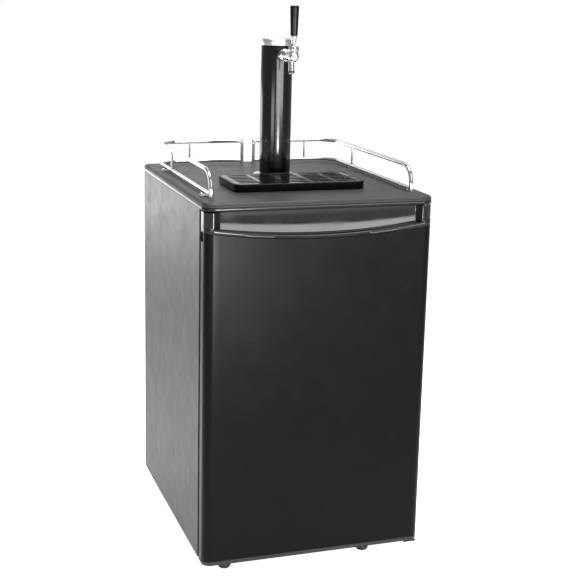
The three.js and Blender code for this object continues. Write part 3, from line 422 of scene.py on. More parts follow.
class Nodes:
    """A short way to add and join shader nodes."""

    def __init__(self, name):
        self.material = bpy.data.materials.new(name)
        self.material.use_nodes = True
        self.tree = self.material.node_tree
        self.shader = self.tree.nodes["Principled BSDF"]
        coordinates = self.add("ShaderNodeTexCoord")
        self.place = coordinates.outputs["Object"]

    def add(self, kind, **settings):
        node = self.tree.nodes.new(kind)
        for key, value in settings.items():
            if hasattr(node, key):
                setattr(node, key, value)
            else:
                node.inputs[key.replace("_", " ").title()].default_value = value
        return node

    def link(self, source, target):
        self.tree.links.new(source, target)

    def noise(self, scale, detail=3.0, stretch=None):
        """Noise by object position, stretched along an axis where asked."""
        node = self.add("ShaderNodeTexNoise", scale=scale, detail=detail)
        place = self.place
        if stretch:
            mapping = self.add("ShaderNodeMapping")
            mapping.inputs["Scale"].default_value = stretch
            self.link(place, mapping.inputs["Vector"])
            place = mapping.outputs["Vector"]
        self.link(place, node.inputs["Vector"])
        return node.outputs["Fac"]

    def spread(self, value, low, high, start=0.3, end=0.7):
        node = self.add("ShaderNodeMapRange")
        for key, number in (("From Min", start), ("From Max", end), ("To Min", low), ("To Max", high)):
            node.inputs[key].default_value = number
        self.link(value, node.inputs["Value"])
        return node.outputs["Result"]

    def mix(self, factor, first, second):
        node = self.add("ShaderNodeMix", data_type="RGBA")
        node.inputs["A"].default_value = (*first, 1)
        node.inputs["B"].default_value = (*second, 1)
        self.link(factor, node.inputs["Factor"])
        return node.outputs["Result"]

    def bump(self, height, strength, depth):
        node = self.add("ShaderNodeBump")
        node.inputs["Strength"].default_value = strength
        node.inputs["Distance"].default_value = depth
        self.link(height, node.inputs["Height"])
        self.link(node.outputs["Normal"], self.shader.inputs["Normal"])


def shade(colour, factor):
    return tuple(min(1.0, c * factor) for c in colour)


def make_finish(name, colour, roughness, metallic=0.0, tint=0.12, tint_scale=6.0, smudge_scale=25.0,
                grain_scale=900.0, grain=0.1, grain_depth=0.0001, stretch=None, coat=0.0, specular=0.5):
    """A painted, moulded or plated surface: a slight drift of tone, uneven gloss and a fine relief."""
    n = Nodes(name)
    drift = n.spread(n.noise(tint_scale, 4.0, stretch), 0, 1)
    n.link(n.mix(drift, shade(colour, 1 - tint), shade(colour, 1 + tint)), n.shader.inputs["Base Color"])
    low, high = roughness
    n.link(n.spread(n.noise(smudge_scale, 5.0, stretch), low, high), n.shader.inputs["Roughness"])
    n.shader.inputs["Metallic"].default_value = metallic
    n.shader.inputs["Coat Weight"].default_value = coat
    n.shader.inputs["Coat Roughness"].default_value = 0.08
    n.shader.inputs["Specular IOR Level"].default_value = specular
    n.bump(n.noise(grain_scale, 2.0, stretch), grain, grain_depth)
    MATERIALS[name] = n.material


def grey(value):
    return value, value, value * 1.03


def make_materials():
    """Every finish on the object, the painted and moulded ones first."""
    # The next two are one black paint in two copies. The cabinet's copy has a lighter base: painted light
    # that makes the side panels read bright. The door's copy has a darker base and a weaker reflection:
    # painted shade that makes the door front read dark.
    make_finish("black_paint_lightened", grey(0.03), (0.36, 0.44), grain_scale=700, grain=0.12)
    make_finish("black_paint_darkened", grey(0.002), (0.23, 0.28), grain_scale=700, grain=0.08, specular=0.15)
    make_finish("grey_paint", grey(0.16), (0.45, 0.6), grain_scale=600)
    make_finish("worktop_plastic", grey(0.035), (0.4, 0.5), grain_scale=1500, grain=0.35,
                grain_depth=0.00015, tint=0.08, specular=0.32)
    make_finish("trim_gloss", grey(0.005), (0.1, 0.2), grain=0.02)
    make_finish("gloss_plastic", grey(0.012), (0.06, 0.12), grain_scale=60, grain=0.01, grain_depth=0.0005)
    make_finish("tray_plastic", grey(0.003), (0.08, 0.2), grain_scale=300, grain=0.05, specular=0.22)
    make_finish("tower_paint", grey(0.002), (0.14, 0.18), grain_scale=160, grain=0.03,
                grain_depth=0.0002, specular=0.58)
    make_finish("black_plastic", grey(0.018), (0.4, 0.55), grain_scale=1200, grain=0.3)
    make_finish("handle_plastic", grey(0.003), (0.2, 0.28), grain_scale=500, grain=0.03, specular=0.25)
    make_finish("white_plastic", (0.78, 0.79, 0.77), (0.3, 0.4), tint=0.03, grain_scale=800, grain=0.1)
    make_finish("seal_rubber", grey(0.035), (0.6, 0.75), grain_scale=1600, grain=0.3)
    make_finish("chrome", (0.78, 0.785, 0.795), (0.1, 0.16), 1.0, tint=0.02, smudge_scale=12, grain=0.004)
    make_finish("satin_chrome", (0.8, 0.805, 0.81), (0.26, 0.34), 1.0, tint=0.02, smudge_scale=20,
                grain=0.004)
    make_finish("zinc", (0.52, 0.53, 0.54), (0.28, 0.45), 1.0, tint=0.2, tint_scale=90)
    make_finish("hose", (0.72, 0.76, 0.75), (0.15, 0.25), tint=0.05, coat=0.3)
    make_finish("copper", (0.75, 0.38, 0.22), (0.25, 0.4), 1.0, tint=0.2, tint_scale=60)
    make_finish("enamel", grey(0.02), (0.25, 0.5), tint=0.3, tint_scale=40, grain_scale=400)
    make_finish("brushed_aluminium", (0.7, 0.71, 0.72), (0.3, 0.42), 1.0, tint=0.06, smudge_scale=8,
                grain_scale=60, grain=0.25, stretch=(1, 1, 30))
    make_finish("foam", (0.74, 0.6, 0.34), (0.85, 0.95), tint=0.15, tint_scale=80, grain_scale=700,
                grain=0.8, grain_depth=0.0006)


MATERIALS = {}


def place_piece(obj, finish, *nodes, body="cabinet"):
    """Gives a piece its material, slot and body, and hides the CAD nodes that it stands for."""
    obj.data.materials.clear()
    obj.data.materials.append(MATERIALS[finish])
    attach(obj, body)
    if nodes:
        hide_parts(*nodes)
    return obj


def middle_of(node):
    low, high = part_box(node)
    return (low + high) / 2


def measures(node):
    """A node's low and high corners, the x and y of its middle, and half its width."""
    low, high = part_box(node)
    return low, high, (low.x + high.x) / 2, (low.y + high.y) / 2, (high.x - low.x) / 2


def from_base(base, *points):
    """A profile of [radius, height] points in millimetres, whose heights start at a base."""
    return [(radius * MM, base + height * MM) for radius, height in points]


# ---- worktop


def make_worktop():
    """A moulded slab: rounded over at the top, with a shallow step above its gloss trim."""
    low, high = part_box("worktop")
    corner = 0.028
    back_corner = 0.014

    def outline(inset):
        radii = [max(r - inset, 0.0015) for r in (corner, corner, back_corner, back_corner)]
        return plan_of(low, high, inset, radii)

    edge = 0.009
    start = high.z - edge
    levels = levels_of(outline, low.z, (20, 0), (3.5, 0), (2.8, 0.8))
    levels += levels_of(outline, start, (2.8, -1.5), (0.6, -0.8), (0.2, 0))
    for i in range(1, 9):
        angle = math.radians(90) * i / 8
        levels.append((outline(edge * (1 - math.cos(angle))), start + edge * math.sin(angle)))
    levels.append((outline(0.03), high.z))
    top = stacked("worktop_visual", levels, sharp_deg=50)
    place_piece(top, "worktop_plastic", "worktop")
    half_round = [
        (0.0, -0.0042), (0.0026, -0.0034), (0.0031, -0.0012),
        (0.0031, 0.0012), (0.0026, 0.0034), (0.0, 0.0042),
    ]
    inset = 0.0031
    radii = [corner - inset, corner - inset, back_corner, back_corner]
    ring = plan_of(low, high, inset, radii, 12)
    bead_z = low.z + 0.0046
    section = softened(half_round, 0.0008, 3)
    bead = swept("worktop_trim", [(x, y, bead_z) for x, y in ring], section, closed=True, sharp_deg=60)
    place_piece(bead, "trim_gloss")


# ---- cabinet


def screw(name, place, axis, radius=0.004):
    """A pan-head screw with a cross recess."""
    head = turned(
        name, [(0, 0), (radius, 0), (radius, radius * 0.25), (radius * 0.7, radius * 0.6), (0, radius * 0.7)],
        (0, 0, 0), 0.0004, 24,
    )
    arm = radius * 0.5
    slot_width = radius * 0.13
    for x, y in ((arm, slot_width), (slot_width, arm)):
        carved(head, block("recess", (-x, -y, radius * 0.35), (x, y, radius), 0))
    head.data.transform(facing(axis, place))
    place_piece(head, "zinc")


def make_cabinet():
    """The plain shells, pans and panels, then the pieces that need a shape of their own."""
    plain = {
        "cabinet_wrap": ("black_paint_lightened", 0.0012, 3), "inner_liner": ("white_plastic", 0.0012, 3),
        "base_pan": ("grey_paint", 0.0004, 2), "machine_lining": ("zinc", 0.0004, 2),
        "line_duct": ("white_plastic", 0.0004, 2), "keg_floor_plate": ("zinc", 0.0005, 2),
    }
    for node, (finish, round_by, segments) in plain.items():
        place_piece(refined(node, round_by, segments), finish, node)
    make_back_panel()
    make_evaporator()
    make_thermostat()
    for node in ("cabinet_foam", "door_foam", "tower_sleeve"):
        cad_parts[node].data.materials.clear()
        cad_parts[node].data.materials.append(MATERIALS["foam"])


def make_back_panel():
    """The rear sheet with two pressed ribs and a row of screws down each side."""
    low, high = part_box("back_panel")
    panel = block("back_panel_visual", low, high, 0.0003)
    place_piece(panel, "grey_paint", "back_panel")
    rib_half = 0.006
    for i, x in enumerate((-0.2, 0.2)):
        outline = rounded_rectangle(x - rib_half, x + rib_half, low.z + 0.04, high.z - 0.04, rib_half, 6)
        smaller = rounded_rectangle(
            x - rib_half + 0.003, x + rib_half - 0.003, low.z + 0.043, high.z - 0.043, rib_half - 0.003, 6)
        rib = stacked(f"back_panel_rib_{i + 1}", [(outline, high.y), (smaller, high.y + 0.0014)], "Y")
        place_piece(rib, "grey_paint")
    rows = 5
    for side in (-1, 1):
        for k in range(rows):
            z = low.z + 0.03 + (high.z - low.z - 0.06) * k / (rows - 1)
            screw(f"back_screw_{'left' if side < 0 else 'right'}_{k + 1}", (side * 0.24, high.y, z), "+Y")


def serpentine(left, right, y, bottom, pitch, runs, reach):
    """Corners of a tube that runs to and fro, a pitch higher each time."""
    corners = [(left, y, bottom)]
    for run in range(runs):
        z = bottom + run * pitch
        x = left if run % 2 else right
        corners += [(x, y, z, reach), (x, y, z + pitch, reach)] if run < runs - 1 else [(x, y, z)]
    return corners


def make_evaporator():
    """A roll-bonded plate with its raised serpentine passage, on four bosses."""
    low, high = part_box("evaporator_plate")
    face = low.y + 0.0012
    plate = prism(
        "evaporator_plate_visual", rounded_rectangle(low.x, high.x, low.z, high.z, 0.008),
        face, face + 0.0018, "Y", 0.0004,
    )
    place_piece(plate, "brushed_aluminium", "evaporator_plate")
    runs = 8
    margin = 0.028
    pitch = (high.z - low.z - 2 * margin) / (runs - 1)
    corners = serpentine(low.x + margin, high.x - margin, face, low.z + margin, pitch, runs, 0.012)
    passage = tube("evaporator_passage", corners, 0.004, 12, 8)
    for vertex in passage.data.vertices:
        vertex.co.y = face + max(min(vertex.co.y - face, 0.0006), -0.0012)
    place_piece(passage, "brushed_aluminium")
    reach = high.y - face - 0.0018
    post = [(0, 0), (0.006, 0), (0.006, reach), (0, reach)]
    for i, x in enumerate((low.x + 0.02, high.x - 0.02)):
        for k, z in enumerate((low.z + 0.02, high.z - 0.02)):
            boss = turned(f"evaporator_boss_{i}{k}", post, (x, face + 0.0018, z), 0.0004, 24, "+Y")
            place_piece(boss, "white_plastic")
            screw(f"evaporator_screw_{i}{k}", (x, face, z), "-Y", radius=0.0045)


def make_thermostat():
    """The housing with dark strips across its face, painted shade standing for its louvre slots, and the knob
    with a grip and a pointer.
    """
    place_piece(refined("thermostat_housing", 0.002, 3), "white_plastic", "thermostat_housing")
    low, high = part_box("thermostat_housing")
    # each louvre is a flat black strip on the solid housing: painted shade where the slot would be
    for k in range(6):
        z = low.z + 0.012 + k * 0.0085
        outline = rounded_rectangle(low.x + 0.011, high.x - 0.006, z, z + 0.0035, 0.0016, 4)
        louvre_shade = prism(f"thermostat_vent_{k + 1}", outline, low.y - 0.0004, low.y + 0.0004, "Y")
        place_piece(louvre_shade, "black_plastic")
    low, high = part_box("thermostat_knob")
    centre = (low + high) / 2
    face = high.x
    profile = from_base(0, (0, 0), (17, 0), (16.5, 4.5), (14.5, 6.2), (0, 6.2))
    disc = turned("thermostat_dial", profile, (face, centre.y, centre.z), 0.0006, 64, "-X")
    grip = prism(
        "thermostat_grip",
        rounded_rectangle(centre.y - 0.0032, centre.y + 0.0032, low.z + 0.003, high.z - 0.003, 0.003, 6),
        low.x, face - 0.005, "X", 0.001,
    )
    knob = joined("thermostat_knob_visual", [disc, grip])
    place_piece(knob, "black_plastic", "thermostat_knob", body="thermostat")
    pointer = block(
        "thermostat_pointer", (low.x - 0.0001, centre.y - 0.0006, high.z - 0.012),
        (low.x + 0.0003, centre.y + 0.0006, high.z - 0.004), 0,
    )
    place_piece(pointer, "white_plastic", body="thermostat")
    for k in range(7):
        angle = math.radians(-135 + 45 * k)
        y = centre.y + 0.0205 * math.sin(angle)
        z = centre.z + 0.0205 * math.cos(angle)
        tick = turned(f"thermostat_tick_{k + 1}", [(0, 0), (0.0006 + 0.00012 * k, 0), (0, 0.0002)],
                      (face + 0.0003, y, z), 0, 16, "-X")
        place_piece(tick, "black_plastic")


# ---- machine space


def make_machine_space():
    """The compressor with its relay, the mains gland and the condenser."""
    make_compressor()
    place_piece(refined("start_relay", 0.0018, 3), "black_plastic", "start_relay")
    low, high, x, _, _ = measures("mains_gland")
    wall = high.y - 0.018
    profile = from_base(
        0, (4, -8), (6, -8), (6, 0.3), (10, 0.3), (10, 3.5), (7.2, 6.2), (7.2, 8), (6.2, 8), (6.2, 9.5),
        (6.8, 9.5), (6.8, 11.5), (5.8, 11.5), (5.8, 13), (6.4, 13), (6.4, 15), (5.4, 15), (5.4, 18), (4, 18),
    )
    place = (x, wall, (low.z + high.z) / 2)
    gland = turned("mains_gland_visual", profile, place, 0.0004, 40, "+Y", closed=True)
    place_piece(gland, "black_plastic", "mains_gland")
    make_condenser()


def make_compressor():
    """The welded can with its seam, on a pressed plate with rubber feet, and its discharge pipe."""
    low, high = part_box("compressor")
    centre = (low + high) / 2
    r = (high.y - low.y) / 2
    z = low.z + 0.012
    can = turned(
        "compressor_can",
        [(0, z), (r - 0.014, z), (r - 0.004, z + 0.008), (r - 0.0005, z + 0.028), (r - 0.0005, z + 0.074),
         (r, z + 0.075), (r, z + 0.081), (r - 0.003, z + 0.082), (r - 0.0035, z + 0.1),
         (r - 0.009, z + 0.119), (r - 0.02, z + 0.131), (r - 0.036, z + 0.138), (0, high.z)],
        (centre.x, centre.y, 0), 0.004, 96,
    )
    place_piece(can, "enamel", "compressor")
    outline = rounded_rectangle(low.x, high.x, centre.y - 0.042, centre.y + 0.042, 0.014, 8)
    plate = prism("compressor_plate", outline, z + 0.0002, z + 0.0032, "Z", 0.0008)
    place_piece(plate, "enamel")
    for i, sx in enumerate((-1, 1)):
        for k, sy in enumerate((-1, 1)):
            x, y = centre.x + sx * 0.072, centre.y + sy * 0.03
            profile = from_base(low.z, (0, 0), (9.5, 0), (9.5, 4), (7.5, 5.5), (9.5, 7), (9.5, 12), (0, 12))
            mount = turned(f"compressor_mount_{i}{k}", profile, (x, y, 0), 0.0008, 32)
            place_piece(mount, "seal_rubber")
            screw(f"compressor_bolt_{i}{k}", (x, y, z + 0.0032), "+Z", radius=0.006)
    coil_low, coil_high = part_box("condenser_coil")
    beside, above = centre.x - r - 0.03, z + 0.16
    coil_x, coil_y = coil_low.x + 0.03, coil_high.y - 0.0075
    pipe = tube(
        "discharge_pipe",
        [(centre.x - r * 0.55, centre.y, z + 0.1), (beside, centre.y, z + 0.1, 0.02),
         (beside, centre.y, above, 0.015), (coil_x, centre.y, above, 0.02),
         (coil_x, coil_y, above, 0.015), (coil_x, coil_y, coil_low.z + 0.013)],
        0.0024, 14, 8,
    )
    place_piece(pipe, "copper")


def make_condenser():
    """The serpentine with its upright wires in front of and behind it."""
    low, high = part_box("condenser_coil")
    radius = 0.0024
    wire = 0.0007
    y = high.y - radius - 2 * wire - 0.0001
    runs = 11
    bottom = low.z + 0.01
    top = high.z - 0.01
    pitch = (top - bottom) / (runs - 1)
    half = 0.215
    corners = serpentine(-half, half, y, bottom, pitch, runs, 0.018)
    coil = tube("condenser_tube", corners, radius, 14, 8)
    place_piece(coil, "enamel", "condenser_coil")
    wires = []
    count = 25
    for k in range(count):
        x = -0.204 + 0.408 * k / (count - 1)
        for offset in (-radius - wire, radius + wire):
            wires.append(tube("wire", [(x, y + offset, low.z), (x, y + offset, high.z)], wire, 8))
    place_piece(joined("condenser_wires", wires), "enamel")
    for i, side in enumerate((-1, 1)):
        for k, z in enumerate((bottom + 2 * pitch, top - 2 * pitch)):
            x = side * 0.18
            start, end = (x - 0.005, low.y, z - 0.008), (x + 0.005, y, z + 0.008)
            place_piece(block(f"condenser_bracket_{i}{k}", start, end, 0.001), "enamel")


# ---- feet and hinges


def make_feet():
    """Levelling feet: a domed pad, a ribbed collar and a threaded stem."""
    bodies = {
        "foot_front_left": "foot_a", "foot_front_right": "foot_b",
        "foot_rear_left": "foot_c", "foot_rear_right": "foot_d",
    }
    for node, body in bodies.items():
        _, high, x, y, _ = measures(node)
        profile = from_base(
            0, (0, 0), (9, 0), (12.5, 2), (14.5, 5.5), (15, 10), (14, 13), (11, 14), (0, 14),
        )
        pad = turned(node + "_pad", profile, (x, y, 0), 0.0012, 48)
        ribs = 16
        outline = []
        for k in range(2 * ribs):
            radius = 0.011 - 0.0008 * (k % 2)
            angle = math.pi * k / ribs
            outline.append((x + radius * math.cos(angle), y + radius * math.sin(angle)))
        collar = prism(node + "_collar", outline, 0.014, 0.024, "Z", 0.0004)
        place_piece(joined(node + "_visual", [pad, collar]), "black_plastic", node, body=body)
        thread = [(0, 0.024)]
        turns = int((high.z - 0.025) / 0.00125)
        for k in range(turns):
            z = 0.0245 + k * 0.00125
            thread += [(0.0043, z), (0.005, z + 0.0006)]
        thread += [(0.0043, high.z), (0, high.z)]
        place_piece(turned(node + "_stem", thread, (x, y, 0), 0, 32), "zinc", body=body)


def make_hinges():
    """The two hinges: bracket or plate, headed pin, bush in the door, and the bracket's screws."""
    place_piece(refined("hinge_bracket_lower", 0.0006), "black_paint_lightened", "hinge_bracket_lower")
    place_piece(refined("hinge_plate_upper", 0.0006), "zinc", "hinge_plate_upper")
    for node, finish in (("hinge_pin_lower", "black_paint_lightened"), ("hinge_pin_upper", "zinc")):
        low, high, x, y, wide = measures(node)
        if node == "hinge_pin_lower":
            shoulder = low.z + 0.0027
            head = [(0, low.z), (wide, low.z), (wide, shoulder)]
            line = head + [(0.004, shoulder), (0.004, high.z), (0, high.z)]
        else:
            shoulder = high.z - 0.002
            head = [(wide, shoulder), (wide, high.z), (0, high.z)]
            line = [(0, low.z), (0.004, low.z), (0.004, shoulder)] + head
        place_piece(turned(node + "_visual", line, (x, y, 0), 0.0005, 40), finish, node)
    for node in ("hinge_bush_lower", "hinge_bush_upper"):
        low, high, x, y, _ = measures(node)
        line = [(0.0043, low.z), (0.007, low.z), (0.007, high.z), (0.0043, high.z)]
        bush = turned(node + "_visual", line, (x, y, 0), 0.0003, 40, closed=True)
        place_piece(bush, "white_plastic", node, body="door")
    low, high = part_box("hinge_bracket_lower")
    for k, y in enumerate((high.y - 0.012, high.y - 0.042)):
        screw(f"hinge_bracket_screw_{k + 1}", ((low.x + high.x) / 2, y, high.z - 0.003), "-Z", radius=0.005)


# ---- door

DOOR_LOW, DOOR_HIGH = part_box("door_skin")
FASCIA_LOW, FASCIA_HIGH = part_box("door_fascia")
DOOR_CORNER = 0.02
DOOR_FACE = DOOR_LOW.y
LIP_HEIGHT = 0.011
LIP_DROOP = 0.0205


def lip_line(x):
    """The height of the lip's underside, which droops towards the middle of the door."""
    middle = DOOR_HIGH.z - LIP_DROOP + 0.0007
    return middle + LIP_DROOP * (x / 0.26) ** 2


def door_face(x, inset=0.0):
    """The door's front at a place across it, round the upright corners."""
    radius = DOOR_CORNER - inset
    past = abs(x) - (DOOR_HIGH.x - DOOR_CORNER)
    if past <= 0:
        return DOOR_FACE + inset
    past = min(past, radius)
    return DOOR_FACE + DOOR_CORNER - math.sqrt(max(radius ** 2 - past ** 2, 0))


def make_door_skin():
    """One bent sheet: the front, two rounded corners and the sides, cut to the lip at the top."""
    back = DOOR_HIGH.y
    line = [(-DOOR_HIGH.x, back), (-DOOR_HIGH.x, DOOR_FACE + DOOR_CORNER + 0.004)]
    for k in range(13):
        angle = math.radians(180 + 90 * k / 12)
        across = DOOR_CORNER * (1 + math.cos(angle))
        line.append((-DOOR_HIGH.x + across, DOOR_FACE + DOOR_CORNER * (1 + math.sin(angle))))
    half = DOOR_HIGH.x - DOOR_CORNER
    line += [(-half + 2 * half * k / 48, DOOR_FACE) for k in range(1, 48)]
    line += [(-x, y) for x, y in reversed(line[:15])]
    rows = 12
    verts, faces = [], []
    for x, y in line:
        top = lip_line(x) - 0.0004
        verts += [(x, y, DOOR_LOW.z + (top - DOOR_LOW.z) * k / rows) for k in range(rows + 1)]
    for i in range(len(line) - 1):
        for k in range(rows):
            a = i * (rows + 1) + k
            b = a + rows + 1
            faces.append((a, b, b + 1, a + 1))
    skin = new_mesh("door_skin_visual", verts, faces)
    thick = skin.modifiers.new("sheet", "SOLIDIFY")
    thick.thickness = 0.0012
    thick.offset = -1
    bevel(skin, 0.0004, 2, 60)
    # the door skin takes the darkened copy of the black paint: painted shade on the door front
    place_piece(skin, "black_paint_darkened", "door_skin", body="door")


def fascia_profile(x):
    """The door-top moulding's section: tongue, lip, trough, the scoop's upright plate and a thin rim."""
    face = door_face(x)
    under = lip_line(x)
    left_end, right_end = -0.238, 0.23
    depth = smooth_step(left_end, left_end + 0.02, x) * smooth_step(-right_end, -right_end + 0.011, -x)
    across = max(0.0, 1 - (x / 0.24) ** 2)
    proud = (0.0012 + 0.0066 * across) * smooth_step(-0.25, -0.236, -abs(x))
    inner = door_face(x, 0.0016)
    low, high = FASCIA_LOW.z, FASCIA_HIGH.z
    back = FASCIA_HIGH.y
    top = under + LIP_HEIGHT
    edge = face + 0.0014 * (1 - depth)
    points = [
        (back, low), (inner, low), (inner, under - 0.0002), (face + 0.0004, under - 0.0002),
        (face - proud * 0.55, under + 0.0008), (face - proud, under + 0.0032),
        (face - proud, top - 0.0034), (face - proud * 0.75 + 0.0004, top - 0.0010), (face + 0.0012, top),
    ]
    start = Vector((edge + 0.0036 * depth, top - 0.0005 * depth + 0.0002))
    foot = Vector((edge + 0.0175 * depth, top - 0.004 * depth + 0.0004))
    near = Vector((edge + 0.0062 * depth, top - 0.0068 * depth))
    far = Vector((edge + 0.0162 * depth, top - 0.0068 * depth))
    steps = 9
    for k in range(steps):
        t = k / steps
        point = start * (1 - t) ** 3 + near * 3 * t * (1 - t) ** 2
        point += far * 3 * t ** 2 * (1 - t) + foot * t ** 3
        points.append((point.x, point.y))
    tall = high - 0.0018 - foot.y
    for k in range(steps + 4):
        t = k / (steps + 3)
        points.append((foot.x + depth * tall * (0.118 * t - 0.09 * t * t), foot.y + tall * t))
    rim = points[-1][0]
    nose = rim - 0.0012 * depth
    points += [(nose, high - 0.0012), (nose, high - 0.0005), (rim, high), (back, high)]
    return [(min(y, back - 0.0001 * (i != 0)), z) for i, (y, z) in enumerate(points)]


def smooth_step(low, high, x):
    t = max(0.0, min(1.0, (x - low) / (high - low)))
    return t * t * (3 - 2 * t)


def make_door_fascia():
    """The glossy moulding: sections closer together at the scoop's ends and round the corners."""
    half = DOOR_HIGH.x
    corner = [half - DOOR_CORNER * (1 - math.sin(math.radians(90) * k / 12)) for k in range(13)]
    ends = [-x for x in reversed(corner)]
    left = [-0.2445 + 0.0007 * k for k in range(1, 42)]
    right = [0.2155 + 0.0007 * k for k in range(1, 30)]
    middle = [-0.2155 + 0.43 * k / 90 for k in range(91)]
    places = sorted({round(x, 6) for x in ends + left + middle + right + corner})
    levels = [(fascia_profile(x), x) for x in places]
    fascia = stacked("door_fascia_visual", levels, "X", sharp_deg=40)
    place_piece(fascia, "gloss_plastic", "door_fascia", body="door")


def make_door_bottom_cap():
    """The lower moulding, rounded under, with a small step where the skin meets it."""
    low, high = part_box("door_bottom_cap")

    def outline(inset):
        radii = [DOOR_CORNER - inset, DOOR_CORNER - inset, 0.001, 0.001]
        return rounded_rectangle(
            low.x + inset, high.x - inset, low.y + inset, high.y - inset * 0.5, radii, 10,
        )

    levels = levels_of(outline, low.z, (3.5, 0), (1, 1), (0, 3.5))
    levels += levels_of(outline, high.z, (0, -1), (0.8, 0))
    cap = stacked("door_bottom_cap_visual", levels)
    hinge = middle_of("hinge_bush_lower")
    below, above = low.z - 0.01, high.z + 0.01
    line = [(0, below), (0.0072, below), (0.0072, above), (0, above)]
    bore = turned("bore", line, (hinge.x, hinge.y, 0), 0, 40)
    place_piece(carved(cap, bore), "black_plastic", "door_bottom_cap", body="door")


def make_door_liner():
    """The inner panel: a flat margin, a raised frame and a shallow dished middle."""
    low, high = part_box("door_liner")
    margin = high.y - 0.0231
    edge = rounded_rectangle(low.x, high.x, low.z, high.z, 0.004, 6)
    plate = prism("door_liner_margin", edge, low.y, margin, "Y", 0.0005)
    place_piece(plate, "white_plastic", "door_liner", body="door")

    def frame_line(inset, radius):
        return rounded_rectangle(-0.2 + inset, 0.2 - inset, 0.1 + inset, 0.776 - inset, radius, 8)

    levels = [
        (frame_line(0, 0.016), margin - 0.0003), (frame_line(0.001, 0.016), margin + 0.004),
        (frame_line(0.003, 0.015), high.y - 0.003), (frame_line(0.0055, 0.013), high.y),
        (frame_line(0.026, 0.012), high.y), (frame_line(0.0268, 0.012), high.y - 0.0003),
        (frame_line(0.0285, 0.011), high.y - 0.0009), (frame_line(0.03, 0.01), high.y - 0.0012),
        (frame_line(0.1, 0.008), high.y - 0.0012),
    ]
    raised = stacked("door_liner_panel", levels, "Y", sharp_deg=60)
    place_piece(raised, "white_plastic", body="door")


def make_door_gasket():
    """A magnetic seal: a flat base, a pleated bellows and the magnet strip."""
    low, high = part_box("door_gasket")
    half = 0.009
    depth = high.y - low.y
    centre = rounded_rectangle(low.x + half, high.x - half, low.z + half, high.z - half, 0.006, 6)
    shape = [
        (-half, 0.0), (half, 0.0), (half, 0.0018), (half - 0.0028, 0.003), (half - 0.0004, 0.0046),
        (half - 0.0004, depth), (-half + 0.0004, depth), (-half + 0.0004, 0.0046), (-half + 0.0028, 0.003),
        (-half, 0.0018),
    ]
    section = softened(shape, 0.0007, 2, closed=True)
    path = [(x, low.y, z) for x, z in centre]
    seal = swept("door_gasket_visual", path, section, closed=True)
    facing = min(v.co.y for v in seal.data.vertices)
    if facing < low.y - 0.0005:
        for vertex in seal.data.vertices:
            vertex.co.y = 2 * low.y - vertex.co.y
        face_out(seal)
    place_piece(seal, "seal_rubber", "door_gasket", body="door")


# ---- guard rails


def make_rails():
    """Each rail: an upper tube bent down to its feet, a lower tube, two posts and two screwed tabs."""
    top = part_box("worktop")[1].z
    for hand, side in (("left", -1), ("right", 1)):
        low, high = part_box("rail_upper_" + hand)
        radius = 0.0045
        x = side * (max(abs(low.x), abs(high.x)) - radius)
        inner = side * (min(abs(low.x), abs(high.x)) + radius)
        front = low.y + radius
        back = high.y - radius
        upper_z = high.z - radius
        chamfer = 0.032
        cut_x = x - side * chamfer
        foot = top + 0.0003
        rail = tube(
            "rail_upper_" + hand + "_visual",
            [(x, front, foot), (x, front, upper_z, 0.048), (x, back - chamfer, upper_z, 0.012),
             (cut_x, back, upper_z, 0.012), (inner, back, upper_z, 0.006), (inner, back, foot)],
            radius, 28, 12,
        )
        place_piece(rail, "chrome", "rail_upper_" + hand)
        lower_z = top + 0.008
        lower = tube(
            "rail_lower_" + hand + "_visual",
            [(x, front + radius - 0.001, lower_z), (x, back - chamfer, lower_z, 0.012),
             (cut_x, back, lower_z, 0.012), (inner + side * (radius - 0.001), back, lower_z)],
            0.004, 24, 10,
        )
        place_piece(lower, "chrome", "rail_lower_" + hand)
        for name, (px, py) in {"side": (x, 0.111), "rear": (side * 0.15, back)}.items():
            ends = [(px, py, lower_z), (px, py, upper_z - 0.002)]
            post = tube(f"rail_post_{hand}_{name}", ends, 0.0025, 20)
            place_piece(post, "chrome")
        for end in ("front", "rear"):
            make_rail_tab(hand, end, x, top)


def make_rail_tab(hand, end, rail_x, top):
    """The flat ear on a rail's foot and the domed screw that holds it."""
    node = f"rail_screw_{hand}_{end}"
    _, high, x, y, _ = measures(node)
    half = 0.0045
    tip = x - math.copysign(half, rail_x - x)
    round_ends = [0.001, half, half, 0.001] if tip > rail_x else [half, 0.001, 0.001, half]
    outline = rounded_rectangle(min(rail_x, tip), max(rail_x, tip), y - half, y + half, round_ends, 6)
    tab = prism(f"rail_tab_{hand}_{end}", outline, top + 0.0003, top + 0.0048, "Z", 0.0006)
    place_piece(tab, "zinc")
    dome = from_base(top + 0.005, (0, 0), (4.2, 0), (4.2, 0.8), (3.4, 2.3), (1.8, 3.2)) + [(0, high.z)]
    place_piece(turned(node + "_visual", dome, (x, y, 0), 0.0005, 40), "chrome", node)


# ---- tower and tap


